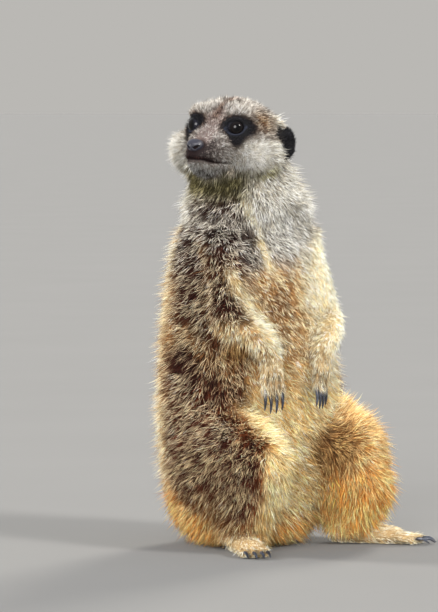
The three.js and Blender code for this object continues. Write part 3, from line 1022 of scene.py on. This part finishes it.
# coat
tuftSet = {
    # metres below the skin where a strand starts, and above the floor where it stays
    "sink": 0.0006,
    "floor": 0.0006,
    # from strand to strand, shares of the coat's own values
    "lengths": (0.72, 1.18),
    "widths": (0.75, 1.25),
    "lifts": (0.7, 1.3),
    "aimLift": 0.85,
    "droop": 0.8,  # how much of its lift a strand keeps at its tip
    "hang": 28,  # degrees more where the skin faces down
    "hangBegin": (0.1, 0.8),
    "sway": 0.62,
    "swayTogether": (0.012, 10),  # metres from one lean to the next, and degrees
    "stray": 0.15,
    "strayLift": 1.5,
    "strayLength": 1.25,
    "clump": 5,  # strands
    "clumpPull": 0.3,
    "clumpPulls": (0.5, 1.2),
    "clumpGap": 0.9,
    "bendPull": 0.4,
    "clearance": 0.0012,
    "clearShare": (1.1, 0.8),  # how far ahead a strand looks for the body, and how near it then comes
    "together": 0.82,
    "shade": 0.22,
    "clumpShade": 0.26,
    "darkTip": 0.2,  # how much of the root's colour a dark tip has
    "paleMiddle": 0.3,  # how much of the tip's colour the middle of a pale strand has
    "darkMiddle": 0.5,  # how much of the root's colour the middle of a dark strand has
    # where the colours run together, from 0 at the root to 1 at the tip
    "rootToMiddle": (0.0, 0.45),
    "middleToTip": (0.35, 0.8),
    "plump": (1.6, 0.8),
    "patch": 0.003,  # its side on the unwrapped skin
}


def tuftTemplate(bends):
    # a strand with three sides, from 0 at its root to 1 at its tip
    shape = bmesh.new()
    bmesh.ops.create_cone(shape, cap_ends=True, segments=3, radius1=1, radius2=0, depth=1)
    bmesh.ops.translate(shape, verts=shape.verts, vec=(0, 0, 0.5))
    if bends:
        sides = [e for e in shape.edges if abs(e.verts[0].co.z - e.verts[1].co.z) > 0.5]
        bmesh.ops.subdivide_edges(shape, edges=sides, cuts=bends)
    bmesh.ops.triangulate(shape, faces=shape.faces)
    shape.verts.ensure_lookup_table()
    shape.verts.index_update()
    points = np.array([v.co for v in shape.verts])
    faces = np.array([[v.index for v in f.verts] for f in shape.faces])
    shape.free()
    return points, faces


skinTree = BVHTree.FromPolygons([Vector(p) for p in skinPlaces], skinCorners.tolist())


def scatter(faces, count, picker):
    # even roots over the faces, by area
    a, b, c = (skinPlaces[skinCorners[faces, k]] for k in range(3))
    area = np.linalg.norm(np.cross(b - a, c - a), axis=1) / 2
    total = np.cumsum(area)
    marks = (np.arange(count) + picker.uniform(0, 1, count)) / count * total[-1]
    chosen = np.minimum(np.searchsorted(total, marks), len(faces) - 1)
    first, second = picker.uniform(0, 1, (2, count))
    flip = first + second > 1
    first[flip], second[flip] = 1 - first[flip], 1 - second[flip]
    weights = np.stack((1 - first - second, first, second), axis=1)
    return faces[chosen], weights


def blend(values, faces, weights):
    corners = skinCorners[faces]
    return sum(values[corners[:, k]] * weights[:, k, None] for k in range(3))


def clearLengths(roots, aims, normals, lengths):
    # shortens strands that would run into another part of the body
    kept = lengths.copy()
    starts = roots + normals * tuftSet["clearance"]
    look, stop = tuftSet["clearShare"]
    for i in range(len(roots)):
        hit = skinTree.ray_cast(Vector(starts[i]), Vector(aims[i]), lengths[i] * look)
        if hit[0] is not None:
            kept[i] = max(hit[3] * stop, tuftSet["clearance"])
    return kept


def swung(first, second, angle):
    # a direction turned by an angle from the first towards the second
    return first * np.cos(angle)[:, None] + second * np.sin(angle)[:, None]


def mix(first, second, share):
    return first * (1 - share) + second * share


def strandColours(coat, nearest, picker):
    # dark and pale strands mixed, mostly a clump at a time
    count = len(nearest)
    luck = picker.uniform(0, 1, count)
    luck = np.where(picker.uniform(0, 1, count) < tuftSet["together"], luck[nearest], luck)
    pale = (luck < coat["frost"])[:, None]
    clumpShade = picker.normal(0, tuftSet["clumpShade"], count)[nearest]
    shade = np.exp(picker.normal(0, tuftSet["shade"], count) + clumpShade)[:, None]
    root, middle = coat["root"], coat["middle"]
    tip = np.where(pale, coat["tip"], mix(middle, root, tuftSet["darkTip"]))
    middle = np.where(pale, mix(middle, tip, tuftSet["paleMiddle"]), mix(middle, root, tuftSet["darkMiddle"]))
    return root * shade, middle * shade, tip * shade


def growCoat(name, faces, count, bends, unwrap, order):
    picker = np.random.default_rng(seed + order)
    chosen, weights = scatter(faces, count, picker)
    roots = blend(skinPlaces, chosen, weights)
    normals = unit(blend(skinNormals, chosen, weights))
    lie = unit(blend(skinLie, chosen, weights))
    values = blend(coatValues, chosen, weights)
    coat = {kind: values[:, column] for kind, column in coatColumns.items()}
    # sway: each strand turns a little from the comb, and neighbours turn together
    size, degrees = tuftSet["swayTogether"]
    sway = picker.normal(0, tuftSet["sway"], count) * coat["lift"] + ripple(roots, size, order) * degrees
    lie = unit(swung(lie, np.cross(normals, lie), np.radians(sway)))
    side = np.cross(normals, lie)
    length = coat["length"] * millimetre * picker.uniform(*tuftSet["lengths"], count)
    lift = np.radians(coat["lift"] * picker.uniform(*tuftSet["lifts"], count))
    stray = picker.uniform(0, 1, count) < tuftSet["stray"]
    hang = np.radians(tuftSet["hang"]) * fade(*tuftSet["hangBegin"], -normals[:, 2])
    lift = np.where(stray, lift * tuftSet["strayLift"], lift) + hang
    length = np.where(stray, length * tuftSet["strayLength"], length)
    aim = unit(swung(lie, normals, lift * tuftSet["aimLift"]))
    length = clearLengths(roots, aim, normals, length)
    half = length[:, None] * 0.5
    start = roots - normals * tuftSet["sink"]
    bend = start + half * swung(lie, normals, lift)
    tip = bend + half * swung(lie, normals, lift * tuftSet["droop"])
    # clumps: the tips of neighbours lean together
    seeds = picker.permutation(count)[: max(count // tuftSet["clump"], 1)]
    nearest = seeds[nearestOf(roots[seeds], roots)]
    pull = tuftSet["clumpPull"] * picker.uniform(*tuftSet["clumpPulls"], count)[:, None]
    gap = np.linalg.norm(roots - roots[nearest], axis=1)
    pull = np.where(((gap < length * tuftSet["clumpGap"]) & ~stray)[:, None], pull, 0)
    tip = tip + (tip[nearest] - tip) * pull
    bend = bend + (bend[nearest] - bend) * pull * tuftSet["bendPull"]
    for line in (start, bend, tip):
        line[:, 2] = np.maximum(line[:, 2], tuftSet["floor"])
    colours = strandColours(coat, nearest, picker)
    width = coat["width"] * millimetre * picker.uniform(*tuftSet["widths"], count)
    layStrands(name, (start, bend, tip), (side, normals), width, colours, unwrap(roots), bends)


def layStrands(name, path, frameAxes, width, colours, where, bends):
    # one mesh of strands, each along its own curve from root to tip
    points, template = tuftTemplate(bends)
    start, bend, tip = path
    side, normals = frameAxes
    count, cornerCount = len(start), len(points)
    t = points[:, 2][None, :, None]
    control = 2 * bend - (start + tip) / 2
    line = start[:, None] * (1 - t) ** 2 + control[:, None] * 2 * t * (1 - t) + tip[:, None] * t**2
    section = points[None, :, 0, None] * side[:, None] + points[None, :, 1, None] * normals[:, None]
    late, blunt = tuftSet["plump"]
    plump = np.where(t > 0.999, 0, (1 - t**late) ** blunt / np.maximum(1 - t, 1e-3))
    places = line + section * plump * width[:, None, None] / 2
    places[:, :, 2] = np.maximum(places[:, :, 2], tuftSet["floor"] * 0.5)
    root, middle, end = (colour[:, None] for colour in colours)
    colour = mix(root, middle, fade(*tuftSet["rootToMiddle"], t))
    colour = mix(colour, end, fade(*tuftSet["middleToTip"], t))
    corners = (template[None] + (np.arange(count) * cornerCount)[:, None, None]).reshape(-1)
    mesh = bpy.data.meshes.new(name)
    mesh.vertices.add(count * cornerCount)
    mesh.vertices.foreach_set("co", places.reshape(-1).astype(np.float32))
    mesh.loops.add(len(corners))
    mesh.loops.foreach_set("vertex_index", corners.astype(np.int32))
    mesh.polygons.add(len(corners) // 3)
    mesh.polygons.foreach_set("loop_start", np.arange(0, len(corners), 3, dtype=np.int32))
    mesh.polygons.foreach_set("use_smooth", np.ones(len(corners) // 3, bool))
    mesh.update(calc_edges=True)
    paintCorners(mesh, colour.reshape(-1, 3))
    # each strand is a small patch where its root lies on the unwrapped skin
    span = tuftSet["patch"]
    where = spreadOut(where) * (1 - 3 * span) + span
    patch = np.stack((points[:, 0] * 0.5, points[:, 2] - 0.5), axis=1) * span
    flat = (where[:, None] + patch[None]).reshape(-1, 2)
    mesh.uv_layers.new(name="OFBake").data.foreach_set("uv", flat[corners].reshape(-1).astype(np.float32))
    mesh.materials.append(furMaterial)
    coat = newObject(name, mesh)
    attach(coat, "root")
    print("coat", name, len(corners) // 3, "triangles")


def spreadOut(where):
    # over the whole unit square
    return (where - where.min(axis=0)) / np.maximum(np.ptp(where, axis=0), 1e-9)


def paintCorners(mesh, colours):
    tint = mesh.color_attributes.new("coatColour", "FLOAT_COLOR", "POINT")
    painted = np.concatenate((np.clip(colours, 0, 1), np.ones((len(colours), 1))), axis=1)
    tint.data.foreach_set("color", painted.reshape(-1).astype(np.float32))


# materials
coatFinish = {
    # noise: its scale and detail. shades: its darkest and lightest. relief: its strength and depth in metres
    "fur": {"noise": (90, 3), "shades": (0.8, 1.2), "roughness": 0.6, "shine": 0.3, "relief": None},
    "underfur": {
        "noise": (900, 4), "shades": (0.65, 1.3), "roughness": 0.8, "shine": 0.2, "relief": (0.6, 0.0004),
    },
}


def makeCoatMaterial(name):
    # the piece's own colours, a little darker and lighter from place to place
    setting = coatFinish[name]
    material, nodes, links, surface = newMaterial(name)
    cloud = addNoise(nodes, links, *setting["noise"])
    tint = nodes.new("ShaderNodeAttribute")
    tint.attribute_name = "coatColour"
    spread = nodes.new("ShaderNodeMapRange")
    spread.inputs["To Min"].default_value, spread.inputs["To Max"].default_value = setting["shades"]
    shade = nodes.new("ShaderNodeHueSaturation")
    links.new(cloud, spread.inputs["Value"])
    links.new(spread.outputs["Result"], shade.inputs["Value"])
    links.new(tint.outputs["Color"], shade.inputs["Color"])
    links.new(shade.outputs["Color"], surface.inputs["Base Color"])
    if setting["relief"]:
        addRelief(nodes, links, surface, cloud, *setting["relief"])
    setSurface(surface, setting["roughness"], setting["shine"])
    return material


furMaterial = makeCoatMaterial("fur")


def paintSkin():
    root, middle = coatValues[:, coatColumns["root"]], coatValues[:, coatColumns["middle"]]
    paintCorners(skin.data, mix(root, middle, skinSet["middleShare"]))
    skin.data.materials.clear()
    skin.data.materials.append(makeCoatMaterial("underfur"))
    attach(skin, "root")
    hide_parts(*[n for n in fleshNodes if not n.startswith(("eye_", "nose"))])


paintSkin()


# eyes
eyeSet = {
    "segments": 64,
    "rings": 48,
    "cornea": 0.03,
    "corneaEdge": (50, 20),  # degrees from the middle of the gaze, where it begins and is full
    "wander": 5,  # degrees by which the streaks move the colours
    "streaks": (1400, 2),
    # colours by the angle from the middle of the gaze, in degrees
    "colours": [
        (0, (1, 1, 2)), (22, (2, 2, 3)), (26, (9, 7, 8)), (40, (17, 12, 11)),
        (48, (4, 3, 4)), (56, (10, 9, 12)), (75, (30, 30, 38)),
    ],
}


def makeEyeMaterial():
    material, nodes, links, surface = newMaterial("eyeGloss")
    gaze = nodes.new("ShaderNodeAttribute")
    gaze.attribute_name = "gaze"
    wander = nodes.new("ShaderNodeMath")
    wander.operation = "MULTIPLY_ADD"
    wander.inputs[1].default_value = eyeSet["wander"]
    links.new(addNoise(nodes, links, *eyeSet["streaks"]), wander.inputs[0])
    links.new(gaze.outputs["Fac"], wander.inputs[2])
    span = eyeSet["colours"][-1][0]
    colour = rampBetween(nodes, links, wander.outputs[0], eyeSet["colours"], span)
    links.new(colour, surface.inputs["Base Color"])
    setSurface(surface, roughness=0.10, shine=0.22)
    return material


def makeEye(side, material):
    # a ball with the clear front bulging a little, looking the eye's own way
    look, outer, _ = eyeAxes(side)
    shape = bmesh.new()
    segments, rings = eyeSet["segments"], eyeSet["rings"]
    bmesh.ops.create_uvsphere(shape, u_segments=segments, v_segments=rings, radius=eyeRadius)
    angles = []
    for corner in shape.verts:
        angle = math.degrees(math.acos(max(-1.0, min(1.0, corner.co.z / eyeRadius))))
        corner.co *= 1 + eyeSet["cornea"] * float(fade(*eyeSet["corneaEdge"], angle))
        angles.append(angle)
    turned = Matrix((outer, np.cross(look, outer), look)).transposed().to_4x4()
    turned.translation = Vector(eyeMiddles[side])
    bmesh.ops.transform(shape, matrix=turned, verts=shape.verts)
    piece = finishPiece("eye" + side.title(), shape, material, "eye_gloss", "eye_" + side)
    addNumbers(piece, "gaze", angles)


def addNumbers(piece, name, numbers):
    # a number at each point of a piece, for its material to read
    attribute = piece.data.attributes.new(name, "FLOAT", "POINT")
    attribute.data.foreach_set("value", numbers)


def finishPiece(name, shape, material, slot, *nodes):
    bmesh.ops.recalc_face_normals(shape, faces=shape.faces)
    mesh = finishedMesh(name, shape)
    mesh.polygons.foreach_set("use_smooth", np.ones(len(mesh.polygons), bool))
    mesh.materials.append(material)
    piece = newObject(name, mesh)
    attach(piece, "root")
    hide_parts(*nodes)
    return piece


# nose
noseSet = {
    "half": (4.5, 5.5, 4.1),  # forward, aside and up, in millimetres
    "taper": 0.16,
    "front": (0.0, 0.35),  # how far forward the nostrils begin and are full, as a share of its half
    "nostril": ((2.2, -1.3), (4.5, -0.1)),  # from its round end to its slit, aside and up
    "nostrilWidth": (1.05, 0.5),
    "nostrilEdge": (1.15, 0.45),
    "nostrilDepth": 1.9,
    "nostrilPinch": 0.5,
    "rim": 0.28,
    "rimAt": (1.65, 0.45),
    "furrow": 0.5,
    "furrowWidth": 0.4,
    "furrowTop": (1.4, -0.4),
    # the pits are painted almost black: painted shade inside the nostrils
    "colours": [(0, (44, 44, 54)), (0.5, (26, 25, 31)), (1.0, (4, 3, 4))],  # from the pad to the pits
    "pebbles": 2300,
    "relief": (0.5, 0.00025),
}


def nostrilGap(aside, above):
    # distance from the comma of the nostril, as a share of its width
    (x1, y1), (x2, y2) = noseSet["nostril"]
    along = (abs(aside) - x1) * (x2 - x1) + (above - y1) * (y2 - y1)
    along = max(0.0, min(1.0, along / ((x2 - x1) ** 2 + (y2 - y1) ** 2)))
    gap = math.hypot(abs(aside) - x1 - (x2 - x1) * along, above - y1 - (y2 - y1) * along)
    wide, narrow = noseSet["nostrilWidth"]
    return gap / (wide + (narrow - wide) * along)


def makeNoseMaterial():
    material, nodes, links, surface = newMaterial("noseLeather")
    pit = nodes.new("ShaderNodeAttribute")
    pit.attribute_name = "pit"
    colour = rampBetween(nodes, links, pit.outputs["Fac"], noseSet["colours"], 1.0)
    links.new(colour, surface.inputs["Base Color"])
    place = nodes.new("ShaderNodeTexCoord")
    pebbles = nodes.new("ShaderNodeTexVoronoi")
    pebbles.inputs["Scale"].default_value = noseSet["pebbles"]
    links.new(place.outputs["Object"], pebbles.inputs["Vector"])
    addRelief(nodes, links, surface, pebbles.outputs["Distance"], *noseSet["relief"])
    setSurface(surface, roughness=0.30, varnish=0.35, varnishRoughness=0.2)
    return material


def makeNose():
    shape = bmesh.new()
    bmesh.ops.create_icosphere(shape, subdivisions=6, radius=1)
    halfAhead, halfAside, halfAbove = noseSet["half"]
    pits = []
    for corner in shape.verts:
        ahead, above = corner.co.x * halfAhead, corner.co.z * halfAbove
        aside = corner.co.y * halfAside * (1 + noseSet["taper"] * corner.co.z)
        gap = nostrilGap(aside, above)
        front = float(fade(*noseSet["front"], corner.co.x))
        # how far a point lies into a nostril, which sinks it and darkens it with painted shade
        pit = float(fade(*noseSet["nostrilEdge"], gap)) * front
        rim = float(bump(gap, *noseSet["rimAt"])) * front * noseSet["rim"]
        furrow = bump(aside, 0, noseSet["furrowWidth"]) * fade(*noseSet["furrowTop"], above)
        ahead += rim - pit * noseSet["nostrilDepth"] - float(furrow) * front * noseSet["furrow"]
        aside -= math.copysign(pit * noseSet["nostrilPinch"], aside)
        corner.co = (forward * ahead + leftward * aside + upward * above) * millimetre
        pits.append(pit)
    bmesh.ops.translate(shape, verts=shape.verts, vec=Vector(noseMiddle))
    piece = finishPiece("nosePad", shape, makeNoseMaterial(), "nose_skin", "nose")
    addNumbers(piece, "pit", pits)


# claws
clawSet = {
    "colours": [(0.25, (16, 17, 23)), (0.5, (38, 42, 54)), (0.8, (92, 100, 118))],
    "streaks": (420, 3),
    "grain": (2600, 2),
    "relief": (0.3, 0.0001),
    "levels": 2,
}


def makeClawMaterial():
    material, nodes, links, surface = newMaterial("clawHorn")
    streaks = addNoise(nodes, links, *clawSet["streaks"])
    colour = rampBetween(nodes, links, streaks, clawSet["colours"], 1.0)
    links.new(colour, surface.inputs["Base Color"])
    grain = addNoise(nodes, links, *clawSet["grain"])
    addRelief(nodes, links, surface, grain, *clawSet["relief"])
    setSurface(surface, roughness=0.28, varnish=0.4)
    return material


def makeClaws():
    material = makeClawMaterial()
    for node in sorted(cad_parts):
        if not node.startswith("claw_"):
            continue
        _, limb, side, number = node.split("_")
        name = "claw" + limb.title() + side.title() + number
        claw = finishPiece(name, mergedCopy(node), material, "claw_horn", node)
        smooth = claw.modifiers.new("smooth", "SUBSURF")
        smooth.levels = smooth.render_levels = clawSet["levels"]


# whiskers
whiskerSet = {
    "rows": 4,
    "perRow": 4,
    "brows": 3,
    "first": (15.5, 14, -11.5),  # the first root: forward, aside and up, in millimetres
    "alongRow": -2.6,
    "nextRow": (-0.5, -1.7),
    "firstBrow": (2, 9, 14),
    "nextBrow": (-3, 3),
    "aimBack": (0.25, 0.15),  # the first one's share, and what each next one adds
    "aimUp": (0.1, -0.16),
    "browAim": (-1, 0.3, 0.45),
    "offSkin": 0.35,
    "tipDown": 0.25,
    "tipBack": 0.2,
    "spread": 0.08,
    "length": (9.0, 17.0),
    "width": 0.16,
    "colours": ((30, 24, 22), (70, 58, 52), (150, 138, 124)),
}


def whiskerRoots():
    # where each whisker starts near the skin, and where it points
    ahead, aside, above = whiskerSet["first"]
    rowAhead, rowAbove = whiskerSet["nextRow"]
    (back, moreBack), (up, moreUp) = whiskerSet["aimBack"], whiskerSet["aimUp"]
    browAhead, browAside, browAbove = whiskerSet["firstBrow"]
    nextAhead, nextAside = whiskerSet["nextBrow"]
    aimAhead, aimAside, aimUp = whiskerSet["browAim"]
    for sign in bothSides.values():
        for row in range(whiskerSet["rows"]):
            for i in range(whiskerSet["perRow"]):
                start = ahead + whiskerSet["alongRow"] * i + rowAhead * row
                aim = leftward * sign - forward * (back + moreBack * i) + upward * (up + moreUp * row)
                yield headPoint(start, sign * aside, above + rowAbove * row), aim
        for i in range(whiskerSet["brows"]):
            root = headPoint(browAhead + nextAhead * i, sign * (browAside + nextAside * i), browAbove)
            yield root, forward * aimAhead + leftward * sign * aimAside + upward * aimUp


def makeWhiskers():
    picker = np.random.default_rng(seed)
    roots, aims = zip(*whiskerRoots())
    aims = unit(np.array(aims) + picker.normal(0, whiskerSet["spread"], (len(aims), 3)))
    found = [skinTree.find_nearest(Vector(root)) for root in roots]
    starts, normals = (np.array([spot[k] for spot in found]) for k in (0, 1))
    count = len(starts)
    length = picker.uniform(*whiskerSet["length"], count)[:, None] * millimetre
    bend = starts + unit(aims + normals * whiskerSet["offSkin"]) * length * 0.5
    sag = upward * whiskerSet["tipDown"] + forward * whiskerSet["tipBack"]
    tip = bend + unit(aims - sag) * length * 0.5
    axes = (unit(np.cross(normals, aims)), normals)
    width = np.full(count, whiskerSet["width"] * millimetre)
    colours = [np.tile(linear(colour), (count, 1)) for colour in whiskerSet["colours"]]
    layStrands("whiskers", (starts, bend, tip), axes, width, colours, aroundHead(starts), 3)


# where each coat piece grows
def aroundLine(start, end, reference):
    axis = unit(np.array(end) - np.array(start))
    first = unit(np.array(reference) - axis * (np.array(reference) @ axis))
    second = np.cross(axis, first)

    def unwrap(roots):
        offset = roots - np.array(start)
        return np.stack((np.arctan2(offset @ second, offset @ first), offset @ axis), axis=1)

    return unwrap


def aroundHead(roots):
    # turn and rise from a point inside the skull
    ahead, aside, above = inHead(roots)
    turn, rise = np.arctan2(aside, ahead + 18), np.arctan2(above + 8, np.hypot(aside, ahead + 18))
    return np.stack((turn, rise), axis=1)


def sideBySide(split, unwrap):
    # the left part in one half of the map and the right part in the other
    def both(roots):
        left = roots[:, 0] > split
        where = spreadOut(unwrap(roots))
        where[:, 0] = where[:, 0] * 0.48 + np.where(left, 0.52, 0)
        return where

    return both


coatPieces = {
    # piece: slot, strands and bends in each strand
    "coatFace": ("pale_head_fur", 36000, 0),
    "coatCrown": ("pale_head_fur", 18000, 1),
    "coatNeck": ("pale_head_fur", 12500, 1),
    "coatChest": ("grizzled_fur", 15500, 1),
    "coatBackLeft": ("grizzled_fur", 13000, 1),
    "coatBackRight": ("grizzled_fur", 16500, 1),
    "coatThighLeft": ("golden_fur", 17500, 1),
    "coatThighRight": ("grizzled_fur", 17500, 1),
    "coatArms": ("cream_fur", 13500, 1),
    "coatFeet": ("cream_fur", 4500, 1),
    "coatTail": ("golden_fur", 6800, 1),
}

growSet = {
    # the coat stays clear of the lids' opening and the nose pad, in millimetres
    "opening": (6.0, 5.0, 9),  # half its width and height, and its reach from the eye's middle
    "noseGap": 5.8,
    "faceBegins": -8,
    "backBegins": -0.25,
    # the lines that the coat unwraps round, in metres, and the hip that the left thigh's starts from
    "trunkLine": ((0, 0.008, 0), (0, 0.006, 0.2)),
    "armLine": ((0, -0.03, 0), (0, -0.03, 0.2)),
    "footLine": ((0, 0.05, 0), (0, 0.05, 0.2)),
    "leftHip": (0.022, 0.03, 0.054),
}


def coatGrounds():
    # for each coat piece, the faces it grows from and how they unwrap
    owner = np.argmax(partShare[skinCorners].mean(axis=1), axis=1)
    centre = skinPlaces[skinCorners].mean(axis=1)
    outward = unit(skinNormals[skinCorners].mean(axis=1))
    ahead, _, _ = inHead(centre)

    def of(*names):
        return np.isin(owner, [partNames.index(n) for n in names])

    halfWide, halfTall, eyeReach = growSet["opening"]
    clear = distanceFrom(noseMiddle, centre) > growSet["noseGap"]
    nearEye = np.minimum(*(distanceFrom(middle, centre) for middle in eyeMiddles.values())) < eyeReach
    for side in bothSides:
        _, across, height, depth = fromEye(side, centre)
        clear &= ~((np.abs(height) < halfTall) & (np.abs(across) < halfWide) & (depth > 0) & nearEye)
    headFaces = of("head", "nose", "eye") & clear
    face = headFaces & (ahead > growSet["faceBegins"])
    back = of("trunk") & (outward[:, 1] > growSet["backBegins"])
    isLeft = centre[:, 0] > 0
    breastward, overhead = (0, -1, 0), (0, 0, 1)
    upright = aroundLine(*growSet["trunkLine"], breastward)
    armDown = aroundLine(*growSet["armLine"], breastward)
    footDown = aroundLine(*growSet["footLine"], breastward)
    tailLine = aroundLine(middleOf("tail_base"), middleOf("tail_tip"), overhead)
    grounds = {
        "coatFace": (face, aroundHead),
        "coatCrown": ((headFaces & ~face) | of("ear"), aroundHead),
        "coatNeck": (of("neck"), upright),
        "coatChest": (of("trunk") & ~back, upright),
        "coatBackLeft": (back & isLeft, upright),
        "coatBackRight": (back & ~isLeft, upright),
        "coatArms": (of("upper_arm", "forearm", "hand"), sideBySide(0, armDown)),
        "coatFeet": (of("foot"), sideBySide(0, footDown)),
        "coatTail": (of("tail"), tailLine),
    }
    for side, sign in bothSides.items():
        hip = np.array(growSet["leftHip"]) * (sign, 1, 1)
        fromHip = aroundLine(hip, middleOf("foot_" + side), overhead)
        grounds["coatThigh" + side.title()] = (of("thigh", "shank") & (centre[:, 0] * sign > 0), fromHip)
    return grounds


grounds = coatGrounds()
for order, (coatName, (coatSlot, strands, bends)) in enumerate(coatPieces.items(), 1):
    ground, unwrap = grounds[coatName]
    growCoat(coatName, np.flatnonzero(ground), strands, bends, unwrap, order)

eyeMaterial = makeEyeMaterial()
for eyeSide in bothSides:
    makeEye(eyeSide, eyeMaterial)
makeNose()
makeClaws()
makeWhiskers()
print("eyes, nose, claws and whiskers")
